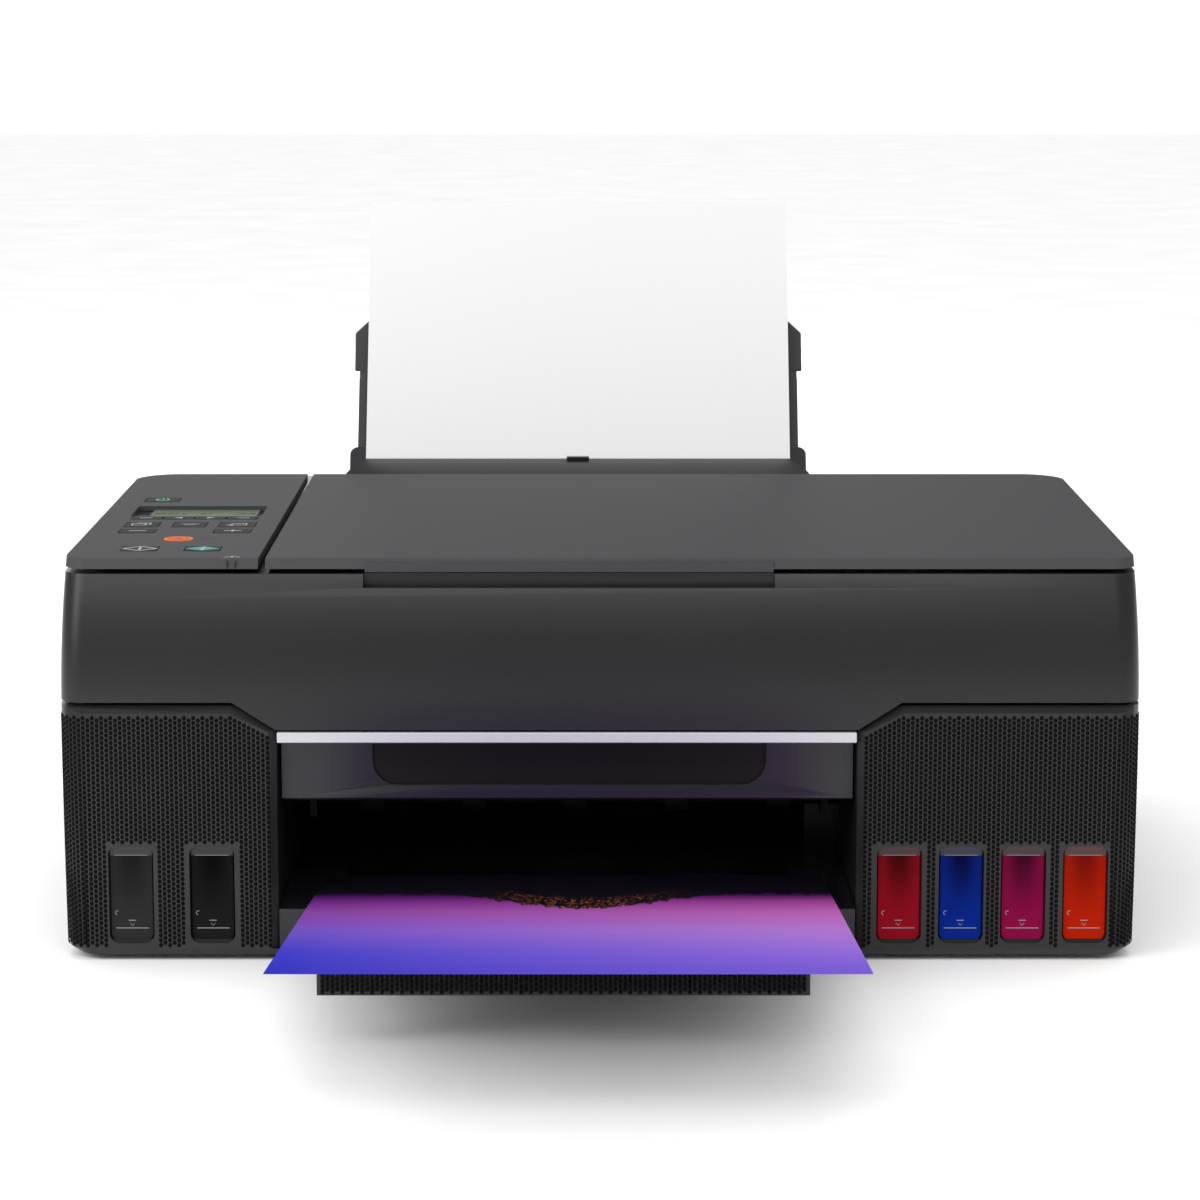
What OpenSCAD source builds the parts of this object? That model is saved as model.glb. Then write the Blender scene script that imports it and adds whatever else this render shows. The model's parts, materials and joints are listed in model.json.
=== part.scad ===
// Inkjet printer with a flatbed scanner, a rear paper feed and refillable ink tanks.
// +X is to the right, +Y to the rear and +Z up. The origin is on the table, between the four feet.

/* [Body] */
// Width across the widest part of the body
body_w = 447; // [430:1:540]
// Depth of the body, from the fronts of the tank columns to the rear wall
body_d = 340; // [330:1:420]
// Height of the closed lid above the table
top_z = 167.5; // [160:0.5:205]
// Height of the seam between the lower body and the scanner unit
seam_z = 109.5; // [104:0.5:114]
// Gap at the seams between moulded parts
seam = 1.5; // [0.8:0.1:2]
// Thickness of the moulded walls
wall = 2.5; // [2:0.1:3.2]
// Height of the rubber feet
foot_h = 2.5; // [2:0.1:4]
// Radius of the front corners, seen from above
front_r = 10; // [6:0.5:16]
// Radius of the rear corners, seen from above
rear_r = 20; // [10:1:30]
// How far the front panel leans back at the top
front_lean = 15; // [5:0.5:22]
// How far each side draws in at the top
side_lean = 1.5; // [0:0.5:6]

/* [Output bay] */
// Width of the bay between the two tank columns
bay_w = 240.6; // [230:0.1:250]
// Middle of the bay, from the middle of the body
bay_x = -13.7; // [-20:0.1:0]
// Width of the output tray
tray_w = 189; // [170:1:200]
// Angle at which the output tray rises towards the front
tray_angle = 7.6; // [5:0.1:8]
// Height of the tray's front panel
tray_front_h = 27; // [18:1:28]
// Height of the silver trim bar
trim_h = 4.5; // [3:0.1:5]

/* [Paper] */
// Width of a sheet
paper_w = 210; // [200:1:216]
// Length of a sheet
paper_l = 297; // [254:1:330]
// Angle at which the loaded paper leans back from upright
paper_lean = 27; // [24:0.5:29]
// Thickness of the loaded stack
stack_t = 1.5; // [0.5:0.1:1.8]

/* [Control panel and lid] */
// Width of the control panel
panel_w = 80.5; // [78:0.5:98]
// Height of the lid above the scanner case
lid_h = 4.2; // [4:0.1:6]
// Gap between the control panel and the lid
panel_gap = 3; // [1:0.5:4]
// Travel of a key
key_travel = 0.8; // [0.4:0.1:1]
// Clearance round each key
key_gap = 0.35; // [0.3:0.05:0.5]

/* [Ink tanks] */
// Width of a tank window
window_w = 18.7; // [14:0.1:20]
// Height of a tank window
window_h = 41.6; // [30:0.1:60]
// Corner radius of a tank window
window_r = 4; // [1:0.5:6]
// Height of the ink tanks
tank_h = 84; // [60:1:85]

/* [Mechanism] */
// Radius of the guide rail
rail_r = 4; // [3:0.5:5]
// Radius of the feed roller
feed_r = 8; // [6:0.5:8.5]
// Radius of the exit rollers
exit_r = 6; // [4:0.5:7]
// Radius of the belt pulleys
pulley_r = 8; // [6:0.5:9]
// Clearance between pieces that move past each other
slip = 0.4; // [0.3:0.05:0.5]
// Clearance between a shaft and its bearing
run = 0.05; // [0.03:0.01:0.08]

/* [Hidden] */
$fn = 48;
eps = 0.01;

charcoal = [0.13, 0.13, 0.14];
black = [0.05, 0.05, 0.055];
steel = [0.62, 0.64, 0.66];
white = [0.9, 0.9, 0.88];

// Heights of the lower body's layers
pan_top = foot_h + wall;
lower_top = seam_z - seam;
belly_z = 105;
case_top = top_z - lid_h - 1.9;
base_tuck = 0.7;
toe_h = 8;
toe_w = 14;

// Footprint of the body
mid_y = 5;
front_y = mid_y - body_d / 2;
rear_y = mid_y + body_d / 2;

// Half width and front edge of the body at a height
function above(z) = max(0, z - belly_z) / (top_z - belly_z);
function below(z) = max(0, belly_z - z) / belly_z;
function toe(z) = toe_w * pow(max(0, toe_h - z) / toe_h, 3);
function half_w(z) = body_w / 2 - side_lean * pow(above(z), 2) - base_tuck * pow(below(z), 2) - toe(z);
function front_at(z) = front_y + front_lean * pow(above(z), 2);

// Bay edges, and the trim's place in it
bay_left = bay_x - bay_w / 2;
bay_right = bay_x + bay_w / 2;
bay_gap = 0.9;
shoulder_w = 18;
shoulder_z = seam_z - 11.5;
chamfer = 3;
trim_z = shoulder_z - trim_h - 1;
trim_d = 5;

// Rear feed: the sheets stand on the hopper's foot and lean back
hop_y = rear_y - 98.5;
hop_z = 27.8;
paper_x = -10.9;
plate_t = 2.5;
plate_gap = 0.5;
hopper_w = paper_w + 16;
hopper_l = 166;
support_w = hopper_w - 7;
extension_w = hopper_w - 2;
support_low = 80;
support_high = 208;
extension_low = 130;
extension_high = 240;
guide_t = 2;
guide_h = 4.5;
guide_low = 30;
guide_high = 110;

// Rear deck round the feed slot
deck_y = rear_y - 59;
deck_z = top_z - 10;
ridge_z = top_z - 3;
slot_y0 = deck_y + 3.4;
slot_y1 = rear_y - 12;
slot_w = hopper_w + 1.2;
flap_y = slot_y0 + 2;
flap_z = ridge_z - 1.2;
flap_pin_r = 1;
flap_w = slot_w - 2 * slip;

// Feed roller in front of the stack, and exit roller at the bay
feed_up = 20;
feed_off = feed_r + slip;
feed_y = hop_y + feed_up * sin(paper_lean) - feed_off * cos(paper_lean);
feed_z = hop_z + feed_up * cos(paper_lean) + feed_off * sin(paper_lean);
shaft_r = 3;
exit_y = front_y + 103;
exit_z = 47;
roller_x0 = bay_left + 9;
roller_x1 = bay_right - 9;

// Carriage, its rail and its belt
rail_y = hop_y - 31.5;
rail_z = 78;
carriage_w = 70;
carriage_x = body_w / 2 - 93.5;
carriage_y0 = rail_y - 90;
carriage_y1 = rail_y + 8;
carriage_z0 = 55;
carriage_z1 = 98;
head_w = 28;
head_z = carriage_z0 - 5;
belt_y0 = rail_y + 13;
belt_w = 6;
belt_t = 1.2;
belt_z = 88;
axle_r = 2;
side_plate_x = body_w / 2 - 13.5;
pulley_right = side_plate_x - 12;
pulley_left = -pulley_right;
beam_z0 = 40;
beam_z1 = 46;

// Output tray, in a frame that rises towards the front
tray_x = bay_x - 0.3;
tray_inner_y = front_y + 38;
tray_inner_z = 26.7;
tray_l = 162;
tray_plate_t = 3;
sheet_t = 0.3;
tray_front_t = 4;
tray_front_y = tray_inner_y - tray_l * cos(tray_angle);
tray_front_z = tray_inner_z + tray_l * sin(tray_angle) - 1.2;

// Ink tanks
tank_z = pan_top + 1;
tank_front = front_y + wall + 1;
tank_back = carriage_y0 - 15;
window_z = 7.4;
window_gap = 0.6;
left_pitch = bay_left + body_w / 2 - 55.8;
left_first = 28.5;
right_pitch = (body_w / 2 - bay_right - wall - 11.2) / 4;
right_first = bay_right + right_pitch / 2 + 4.9;
neck_r = 7;
cap_h = 8;

// Lid, control panel and scanner
lid_rear = rear_y - 67;
case_rear = rear_y - 62;
panel_x = -half_w(top_z);
panel_y = front_at(top_z);
lid_x0 = panel_x + panel_w + panel_gap;
lid_x1 = half_w(top_z);
lid_rear_r = 20;
skin_t = 2.5;
glass_w = 314;
glass_d = 220;
glass_t = 3;
glass_x = (lid_x0 + lid_x1) / 2 - 1;
glass_y = lid_rear - 126;
scan_hinge_y = case_rear - wall - 2.5;
scan_hinge_z = top_z - 12;
scan_hinge_x = body_w / 2 - 38.5;
arm_w = 8;
lid_hinge_y = lid_rear - 1;
lid_hinge_z = case_top + 2.6;
lid_hinge_x = [glass_x - 100, glass_x + 100];
barrel_r = 2.4;
lug_w = 6;
post_w = 14;
grip_recess_x = -12.8;
grip_recess_w = 170;
grip_recess_h = 5.5;

// Keys: place of the lower left corner on the panel, from its front left corner, and size
lcd_at = [10, 118.5];
lcd_size = [58.5, 31.5];
lcd_depth = 2.4;
screen_at = [17.5, 119];
screen_size = [48, 28];
screen_t = 1.2;
key_proud = 0.1;
key_inset = 2.5;
key_t = 3.2;
key_stem_r = 2;
key_stem_h = lid_h + 1.3 + key_proud - key_t - key_travel;
key_corner = 1.2;
POWER = 0;
SOFT = 1;
HOME = 5;
PAD = 6;
BACK = 7;
MINUS = 8;
PLUS = 9;
MONO = 10;
COLOUR = 11;
soft_w = 13.4;
soft_pitch = 14.2;
keys = [
    [[10.5, 163], [15.7, 14]],
    for (i = [0:3]) [[11.3 + i * soft_pitch, 109.2], [soft_w, 8]],
    [[11, 86], [14.9, 15]],
    [[32.1, 86], [14.6, 15]],
    [[52.5, 86], [15.7, 15]],
    [[10.9, 69], [15.6, 12.3]],
    [[52.1, 69], [15.9, 12.3]],
    [[18.5, 18.8], [15, 13]],
    [[45, 18.8], [15, 13]]
];
stop_at = [39.1, 53];
stop_r = 6.5;

// Body between two heights, drawn in by inset, as stacked rounded outlines
module form(low, high, steps, inset) {
    hull()
        for (i = [0:steps], side = [-1, 1]) {
            z = low + (high - low) * i / steps;
            lift = i == steps ? -eps : 0;
            translate([side * (half_w(z) - front_r), front_at(z) + front_r, z + lift])
                cylinder(r = front_r - inset, h = eps, $fn = 32);
            translate([side * (half_w(z) - rear_r), rear_y - rear_r, z + lift])
                cylinder(r = rear_r - inset, h = eps, $fn = 32);
        }
}

// Box from its lowest to its highest corner
module block(low, high) {
    translate(low)
        cube(high - low);
}

// Outline with round corners, from its lower left corner
module rounded(size, r) {
    translate([r, 0])
        square([size.x - 2 * r, size.y]);
    translate([0, r])
        square([size.x, size.y - 2 * r]);
    for (x = [r, size.x - r], y = [r, size.y - r])
        translate([x, y])
            circle(r);
}

// Profile in the side view, extruded from x0 to x1
module across(x0, x1) {
    translate([x0, 0, 0])
        rotate([90, 0, 90])
            linear_extrude(x1 - x0)
                children();
}

// Outline in the front view, extruded from y0 to y1
module through(y0, y1) {
    translate([0, y1, 0])
        rotate([90, 0, 0])
            linear_extrude(y1 - y0)
                children();
}

// Rod along X or along Y
module rod_x(x0, x1, y, z, r) {
    translate([x0, y, z])
        rotate([0, 90, 0])
            cylinder(r = r, h = x1 - x0);
}

module rod_y(x, y0, y1, z, r) {
    translate([x, y0, z])
        rotate([-90, 0, 0])
            cylinder(r = r, h = y1 - y0);
}

// Frame of the rear feed: y runs up the paper, z out of its front face
module on_feed() {
    translate([0, hop_y, hop_z])
        rotate([90 - paper_lean, 0, 0])
            children();
}

// Frame of the output: -y runs out along the tray, z out of the paper's top face
module on_tray() {
    translate([0, tray_inner_y, tray_inner_z])
        rotate([-tray_angle, 0, 0])
            children();
}

// Frame of the control panel: its front left corner on the top face, with a margin at the side
module on_panel() {
    translate([panel_x + key_inset, panel_y, top_z])
        children();
}

// ---- Lower body ----

module base_pan() {
    ledge_z = 21.5;
    color(black) {
        difference() {
            form(foot_h, pan_top, 1, 0);
            block([tray_x - tray_w / 2 - 1, front_y - 1, 0],
                  [tray_x + tray_w / 2 + 1, front_y + 8, pan_top + 1]);
        }
        for (x = [[bay_left + 0.3, tray_x - tray_w / 2 - 1.2],
                  [tray_x + tray_w / 2 + 1.2, bay_right - 0.3]])
            block([x[0], front_y + 2, pan_top - eps], [x[1], exit_y - 10, ledge_z]);
        for (x = board_x, y = board_y)
            translate([x, y, pan_top - eps])
                cylinder(r = 3, h = board_z - pan_top + eps);
    }
}

// Zone of one tank column, with the sloped shoulder beside the trim and a chamfer round its front
module column_zone(side, low, high) {
    hull() {
        through(front_y + chamfer, tank_back + wall)
            column_outline(side, low, high, 0);
        through(front_y, front_y + eps)
            column_outline(side, low, high, chamfer);
    }
}

module column_outline(side, low, high, inset) {
    edge = (side < 0 ? bay_left : bay_right) + side * inset;
    out = side * body_w;
    polygon([[out, low], [edge, low], [edge, shoulder_z - inset / 3],
             [edge + side * (shoulder_w - inset / 2), high - inset], [out, high - inset]]);
}

// Outline of a tank window, drawn in by gap, through the front wall
module window(x, y0, y1, gap) {
    through(y0, y1)
        translate([x - window_w / 2 + gap, window_z + gap])
            rounded([window_w - 2 * gap, window_h - 2 * gap], window_r - gap);
}

// A column and the side wall behind it
module tank_housing(side, centres) {
    edge = side < 0 ? bay_left : bay_right;
    inner = edge + side * wall;
    roof = lower_top - wall;
    color(charcoal)
        difference() {
            intersection() {
                form(pan_top, lower_top, 3, 0);
                union() {
                    column_zone(side, pan_top - 1, lower_top);
                    block([min(side * body_w, side * (body_w / 2 - 8)), tank_back, 0],
                          [max(side * body_w, side * (body_w / 2 - 8)), deck_y, lower_top + 1]);
                }
            }
            intersection() {
                form(pan_top - 1, lower_top + 1, 3, wall);
                union() {
                    through(front_y, tank_back + wall + 1)
                        polygon([[side * body_w, 0], [inner, 0],
                                 [inner, shoulder_z - wall], [inner + side * shoulder_w, roof],
                                 [side * body_w, roof]]);
                    block([min(side * body_w, inner), tank_back + wall, 0],
                          [max(side * body_w, inner), deck_y + 1, lower_top + 2]);
                }
            }
            for (x = centres)
                window(x, front_y - 1, front_y + wall + 1, 0);
            cover_hole(side, slip);
        }
}

// Opening over the tank necks; the cover fills it
module cover_hole(side, gap) {
    x0 = side < 0 ? -body_w / 2 + 12 : bay_right + shoulder_w + 2;
    x1 = side < 0 ? bay_left - shoulder_w - 2 : body_w / 2 - 12;
    block([x0 - gap, front_y + 14 - gap, lower_top - wall - 1],
          [x1 + gap, tank_back - 6 + gap, lower_top + 1]);
}

left_centres = [for (i = [0:1]) left_first - body_w / 2 + i * left_pitch];
right_centres = [for (i = [0:3]) right_first + i * right_pitch];

module left_tank_housing() {
    tank_housing(-1, left_centres);
}

module right_tank_housing() {
    tank_housing(1, right_centres);
}

module tank_covers() {
    color(black)
        intersection() {
            block([-body_w, front_y, lower_top - wall], [body_w, rear_y, lower_top - 0.3]);
            for (side = [-1, 1])
                cover_hole(side, 0);
        }
}

// One tank with its window boss and filler neck
module ink_tank(x, w, ink) {
    color(ink) {
        difference() {
            block([x - w / 2, tank_front, tank_z], [x + w / 2, tank_back - 4, tank_z + tank_h]);
            block([x - w / 2 + 2, tank_front + 2, tank_z + 2],
                  [x + w / 2 - 2, tank_back - 6, tank_z + tank_h - 2]);
        }
        window(x, front_y + 1.6, tank_front + 1, window_gap);
    }
}

tank_w_left = min(31, left_pitch - 2);
tank_w_right = right_pitch - 1.4;

module ink_tank_grey() { ink_tank(left_centres[0], tank_w_left, [0.25, 0.25, 0.27]); }
module ink_tank_black() { ink_tank(left_centres[1], tank_w_left, [0.02, 0.02, 0.02]); }
module ink_tank_red() { ink_tank(right_centres[0], tank_w_right, [0.55, 0, 0.1]); }
module ink_tank_blue() { ink_tank(right_centres[1], tank_w_right, [0, 0.17, 0.6]); }
module ink_tank_magenta() { ink_tank(right_centres[2], tank_w_right, [0.5, 0, 0.3]); }
module ink_tank_orange() { ink_tank(right_centres[3], tank_w_right, [0.75, 0.17, 0]); }

module tank_caps() {
    cap_y = (tank_front + tank_back) / 2;
    color(black)
        for (x = concat(left_centres, right_centres))
            translate([x, cap_y, tank_z + tank_h])
                cylinder(r = neck_r, h = cap_h);
}

inlet_x = body_w / 2 - 60.5;
inlet_z = 31;
inlet_w = 26;
inlet_h = 18;
usb_x = 53.5 - body_w / 2;
usb_w = 14;
usb_h = 12;
board_z = 20;
board_t = 1.6;
board_x = [usb_x - 35, usb_x + 24];
board_y = [rear_y - 64, rear_y - 14];
screw_x = [25.5 - body_w / 2, -100, 95, body_w / 2 - 25.5];
screw_z = [20, 92];
screw_r = 1.5;

module rear_housing() {
    half_slot = slot_w / 2;
    ridge_w = 10;
    color(charcoal)
        difference() {
            union() {
                difference() {
                    intersection() {
                        form(pan_top, deck_z, 6, 0);
                        block([-body_w, deck_y + seam, 0], [body_w, rear_y + 1, top_z]);
                    }
                    intersection() {
                        form(pan_top - 1, deck_z - wall, 6, wall);
                        block([-body_w, deck_y + seam + wall, 0], [body_w, rear_y, top_z]);
                    }
                    block([-body_w, deck_y, 0], [body_w, deck_y + seam + wall + 1, lower_top]);
                    block([paper_x - half_slot, deck_y, 0],
                          [paper_x + half_slot, deck_y + seam + wall + 1, deck_z - wall]);
                }
                block([paper_x - half_slot - ridge_w, deck_y + seam, deck_z - wall],
                      [paper_x + half_slot + ridge_w, flap_y + 8, ridge_z]);
                for (side = [-1, 1])
                    hinge_arm(side);
            }
            block([paper_x - half_slot, slot_y0, deck_z - wall - 1],
                  [paper_x + half_slot, slot_y1, ridge_z + 1]);
            rod_x(paper_x - half_slot - 3, paper_x + half_slot + 3, flap_y, flap_z,
                  flap_pin_r + run);
            rod_x(-scan_hinge_x - 6, scan_hinge_x + 6, scan_hinge_y, scan_hinge_z, 2.5 + run);
            block([inlet_x - inlet_w / 2 - 0.5, rear_y - wall - 1, inlet_z - inlet_h / 2 - 0.5],
                  [inlet_x + inlet_w / 2 + 0.5, rear_y + 1, inlet_z + inlet_h / 2 + 0.5]);
            block([usb_x - usb_w / 2 - 0.5, rear_y - wall - 1, board_z + board_t - 0.5],
                  [usb_x + usb_w / 2 + 0.5, rear_y + 1, board_z + board_t + usb_h + 0.5]);
            for (x = screw_x, z = screw_z)
                rod_y(x, rear_y - wall - 1, rear_y + 1, z, screw_r + 0.2);
        }
}

// Arm that carries the scanner's hinge pin
module hinge_arm(side) {
    r = 5;
    x0 = side * scan_hinge_x - arm_w / 2;
    rod_x(x0, x0 + arm_w, scan_hinge_y, scan_hinge_z, r);
    block([x0, scan_hinge_y, scan_hinge_z - r], [x0 + arm_w, deck_y + seam + 1, scan_hinge_z + 3]);
}

module rubber_feet() {
    color(black)
        for (side = [-1, 1], y = [front_y + 25, rear_y - 35])
            translate([side * (body_w / 2 - 33.5), y, 0])
                cylinder(r = 9, h = foot_h);
}

module case_screws() {
    color(steel)
        for (x = screw_x, z = screw_z) {
            rod_y(x, rear_y - 8, rear_y, z, screw_r);
            rod_y(x, rear_y, rear_y + 1, z, 3);
        }
}

// ---- Electronics ----

module mainboard() {
    color([0.05, 0.3, 0.15]) {
        block([board_x[0] - 6, board_y[0] - 5, board_z],
              [board_x[1] + 6, rear_y - 8, board_z + board_t]);
        block([usb_x - 26, board_y[0] + 8, board_z + board_t - eps],
              [usb_x - 6, board_y[0] + 28, board_z + board_t + 2]);
    }
    color(steel)
        difference() {
            block([usb_x - usb_w / 2, rear_y - 20, board_z + board_t - eps],
                  [usb_x + usb_w / 2, rear_y - 0.5, board_z + board_t + usb_h]);
            block([usb_x - usb_w / 2 + 2, rear_y - 12, board_z + board_t + 2],
                  [usb_x + usb_w / 2 - 2, rear_y, board_z + board_t + usb_h - 2]);
        }
}

module power_supply() {
    color(black)
        difference() {
            union() {
                block([inlet_x - 45, rear_y - 75, pan_top], [inlet_x + 42, rear_y - 9, 50]);
                block([inlet_x - inlet_w / 2, rear_y - 10, inlet_z - inlet_h / 2],
                      [inlet_x + inlet_w / 2, rear_y - 0.4, inlet_z + inlet_h / 2]);
            }
            translate([inlet_x - 9, rear_y, inlet_z - 5])
                rotate([90, 0, 0])
                    linear_extrude(12)
                        rounded([18, 10], 4.5);
        }
}

// ---- Print mechanism ----

module print_frame() {
    feed_x = [bay_left - 4, bay_right + 5.4];
    exit_x = [roller_x0 - 3, roller_x1];
    plate_y0 = rail_y - 85;
    plate_y1 = belt_y0 + 11;
    color(steel)
        difference() {
            union() {
                for (side = [-1, 1])
                    block([side * side_plate_x - 1, plate_y0, pan_top],
                          [side * side_plate_x + 1, plate_y1, 100]);
                block([-side_plate_x, rail_y - 75, beam_z0], [roller_x1 + 3, rail_y - 25, beam_z1]);
                block([-side_plate_x, rail_y - 26, beam_z0], [side_plate_x, rail_y - 12, beam_z1]);
                for (x = feed_x) {
                    block([x, rail_y - 20, beam_z0 - 2], [x + 3, feed_y + 9, head_z - 2]);
                    block([x, carriage_y1 + 3, beam_z0 - 2], [x + 3, feed_y + 9, feed_z + 8]);
                }
                for (x = exit_x) {
                    block([x, exit_y - 7, beam_z0 - 1], [x + 3, rail_y - 70, beam_z1]);
                    block([x, exit_y - 7, beam_z0 - 1], [x + 3, exit_y + 7, exit_z + 5]);
                }
                block([-side_plate_x, plate_y1 - 3, belt_z - 14], [pulley_left + 14, plate_y1, 100]);
                block([pulley_right - 12, plate_y1 - 3, belt_z - 10], [side_plate_x, plate_y1, 98]);
                rod_y(pulley_right, belt_y0 - 1, plate_y1 - 1, belt_z, axle_r);
            }
            rod_x(-side_plate_x - 2, side_plate_x + 2, rail_y, rail_z, rail_r);
            rod_x(feed_x[0] - 1, feed_x[1] + 5, feed_y, feed_z, shaft_r + run);
            rod_x(exit_x[0] - 1, exit_x[1] + 5, exit_y, exit_z, shaft_r + run);
            rod_y(pulley_left, plate_y1 - 4, plate_y1 + 1, belt_z, 5);
        }
}

module guide_rail() {
    color(steel)
        rod_x(-side_plate_x - 1, side_plate_x + 1, rail_y, rail_z, rail_r);
}

module motors() {
    mount_y = belt_y0 + 11;
    color(steel) {
        rod_y(pulley_left, mount_y, mount_y + 32, belt_z, 13);
        rod_y(pulley_left, belt_y0 - 1, mount_y + 1, belt_z, axle_r);
        rod_x(bay_right + 9, bay_right + 38, feed_y + 14, feed_z + 26, 13);
        block([bay_right + 8.4, feed_y, beam_z1], [bay_right + 11, feed_y + 26, feed_z + 38]);
    }
}

module purge_unit() {
    low_x = carriage_x - carriage_w / 2;
    color(black) {
        block([low_x - 3, carriage_y0 + 6, pan_top], [low_x + carriage_w + 2, rail_y - 28, 38]);
        for (x = head_centres)
            block([x - 11, carriage_y0 + 12, 37], [x + 11, rail_y - 32, 49]);
    }
}

head_centres = [for (side = [-1, 1]) carriage_x + side * (head_w / 2 + 2)];

module carriage() {
    low_x = carriage_x - carriage_w / 2;
    color(black)
        difference() {
            union() {
                block([low_x, carriage_y0, carriage_z0],
                      [low_x + carriage_w, carriage_y1, carriage_z1]);
                block([carriage_x - 10, carriage_y1 - 1, belt_z + 4],
                      [carriage_x + 10, belt_y0 - 0.6, carriage_z1 - 1]);
            }
            for (x = head_centres)
                block([x - head_w / 2, carriage_y0 + 4, carriage_z0 - 1],
                      [x + head_w / 2, rail_y - 10, carriage_z1 + 1]);
            rod_x(low_x - 1, low_x + carriage_w + 1, rail_y, rail_z, rail_r + run);
        }
}

module print_heads() {
    color(charcoal)
        for (x = head_centres) {
            block([x - head_w / 2 + 0.3, carriage_y0 + 4.3, head_z],
                  [x + head_w / 2 - 0.3, rail_y - 10.3, carriage_z1 + 1]);
            block([x - head_w / 2 - 1, carriage_y0 + 3, carriage_z1],
                  [x + head_w / 2 + 1, rail_y - 9, carriage_z1 + 3]);
        }
}

// Stadium outline round both pulleys
module belt_outline(r) {
    translate([pulley_left, belt_z])
        circle(r);
    translate([pulley_right, belt_z])
        circle(r);
    translate([pulley_left, belt_z - r])
        square([pulley_right - pulley_left, 2 * r]);
}

module carriage_belt() {
    color(black)
        through(belt_y0, belt_y0 + belt_w)
            difference() {
                belt_outline(pulley_r + run + belt_t);
                belt_outline(pulley_r + run);
            }
}

module pulley(x) {
    color(steel)
        difference() {
            rod_y(x, belt_y0 - 0.6, belt_y0 + belt_w + 0.6, belt_z, pulley_r);
            rod_y(x, belt_y0 - 2, belt_y0 + belt_w + 2, belt_z, axle_r + run);
            for (a = [0:60:300])
                translate([x + 5 * cos(a), 0, 5 * sin(a)])
                    rod_y(0, belt_y0 - 2, belt_y0 + belt_w + 2, belt_z, 1.2);
        }
}

module drive_pulley() {
    pulley(pulley_left);
}

module idler_pulley() {
    pulley(pulley_right);
}

module feed_roller() {
    color(steel)
        rod_x(bay_left - 5, bay_right + 8.2, feed_y, feed_z, shaft_r);
    color(black)
        for (x = [-95, -38, 16, 73])
            rod_x(paper_x + 11 + x - 9, paper_x + 11 + x + 9, feed_y, feed_z, feed_r);
}

module exit_roller() {
    color(steel)
        rod_x(roller_x0 - 4, roller_x1 + 4, exit_y, exit_z, shaft_r);
    color(black)
        for (x = [-90, -45, 0, 45, 90])
            rod_x(paper_x + x - 5, paper_x + x + 5, exit_y, exit_z, exit_r);
}

// ---- Rear paper feed ----

module hopper_plate() {
    back = -stack_t - plate_gap;
    half = hopper_w / 2;
    color(black) {
        on_feed() {
            translate([paper_x - half, -3, back - plate_t])
                linear_extrude(plate_t)
                    rounded([hopper_w, hopper_l + 3], 4);
            translate([paper_x - half, -3, back - eps])
                cube([hopper_w, 3 - 0.3, feed_off - feed_r + 3 - back]);
        }
        for (x = [paper_x - half, paper_x + half - 2])
            block([x, hop_y, pan_top], [x + 2, hop_y + 9, hop_z + 14]);
    }
}

module paper_guide(side) {
    x = paper_x + side * (paper_w / 2 + slip + guide_t / 2);
    color(black)
        on_feed() {
            translate([x - guide_t / 2, guide_low, -stack_t - plate_gap + 0.3])
                cube([guide_t, guide_high - guide_low, guide_h + stack_t]);
            translate([x - guide_t / 2, guide_low + 25, guide_h - 1])
                cube([guide_t, 30, 6]);
        }
}

module paper_guide_left() {
    paper_guide(-1);
}

module paper_guide_right() {
    paper_guide(1);
}

module loaded_paper() {
    color(white)
        on_feed()
            translate([paper_x - paper_w / 2, 0, -stack_t])
                cube([paper_w, paper_l, stack_t]);
}

// Plate on the rear feed with two cut top corners
module feed_plate(width, low, high, level, cut) {
    half = width / 2;
    on_feed()
        translate([paper_x, 0, level - plate_t])
            linear_extrude(plate_t)
                polygon([[-half, low], [half, low], [half, high - cut], [half - cut, high],
                         [cut - half, high], [-half, high - cut]]);
}

module paper_support() {
    level = -stack_t - plate_gap - plate_t - 0.3;
    color(charcoal)
        feed_plate(support_w, support_low, support_high, level, 4);
}

module support_extension() {
    level = -stack_t - plate_gap - 2 * plate_t - 0.6;
    color(charcoal) {
        feed_plate(support_w, extension_low, extension_high, level, 11);
        feed_plate(extension_w, support_high + 1, extension_high, level, 11);
    }
}

module feed_cover() {
    half = flap_w / 2;
    reach = [9.5, 21.5];
    rise = [5.2, 7.2];
    thick = 2;
    color(charcoal)
        difference() {
            union() {
                across(paper_x - half, paper_x + half)
                    polygon([[flap_y - 1, flap_z + 0.4], [flap_y + reach[0], flap_z + rise[0]],
                             [flap_y + reach[1], flap_z + rise[1]],
                             [flap_y + reach[1], flap_z + rise[1] - thick],
                             [flap_y + reach[0] + 0.4, flap_z + rise[0] - thick],
                             [flap_y + 1, flap_z - 1]]);
                rod_x(paper_x - half, paper_x + half, flap_y, flap_z, 1.6);
                rod_x(paper_x - half - 2, paper_x + half + 2, flap_y, flap_z, flap_pin_r);
            }
            for (side = [-1, 1])
                translate([paper_x + side * half, flap_y + 3, flap_z])
                    linear_extrude(20)
                        polygon([[0, 0], [side * 1, 0], [side * 1, 25], [-side * 12, 25]]);
        }
}

// ---- Output ----

module output_tray() {
    half = tray_w / 2;
    color(charcoal) {
        on_tray() {
            translate([tray_x - half + 1, -tray_l, -0.6 - tray_plate_t])
                cube([tray_w - 2, tray_l - 10, tray_plate_t]);
            for (side = [-1, 1])
                translate([tray_x + side * (half - 14) - 1.5, -tray_l, -9])
                    cube([3, tray_l - 60, 9 - 0.6 - tray_plate_t + eps]);
        }
        block([tray_x - half, tray_front_y, tray_front_z - tray_front_h],
              [tray_x + half, tray_front_y + tray_front_t, tray_front_z]);
    }
}

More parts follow.
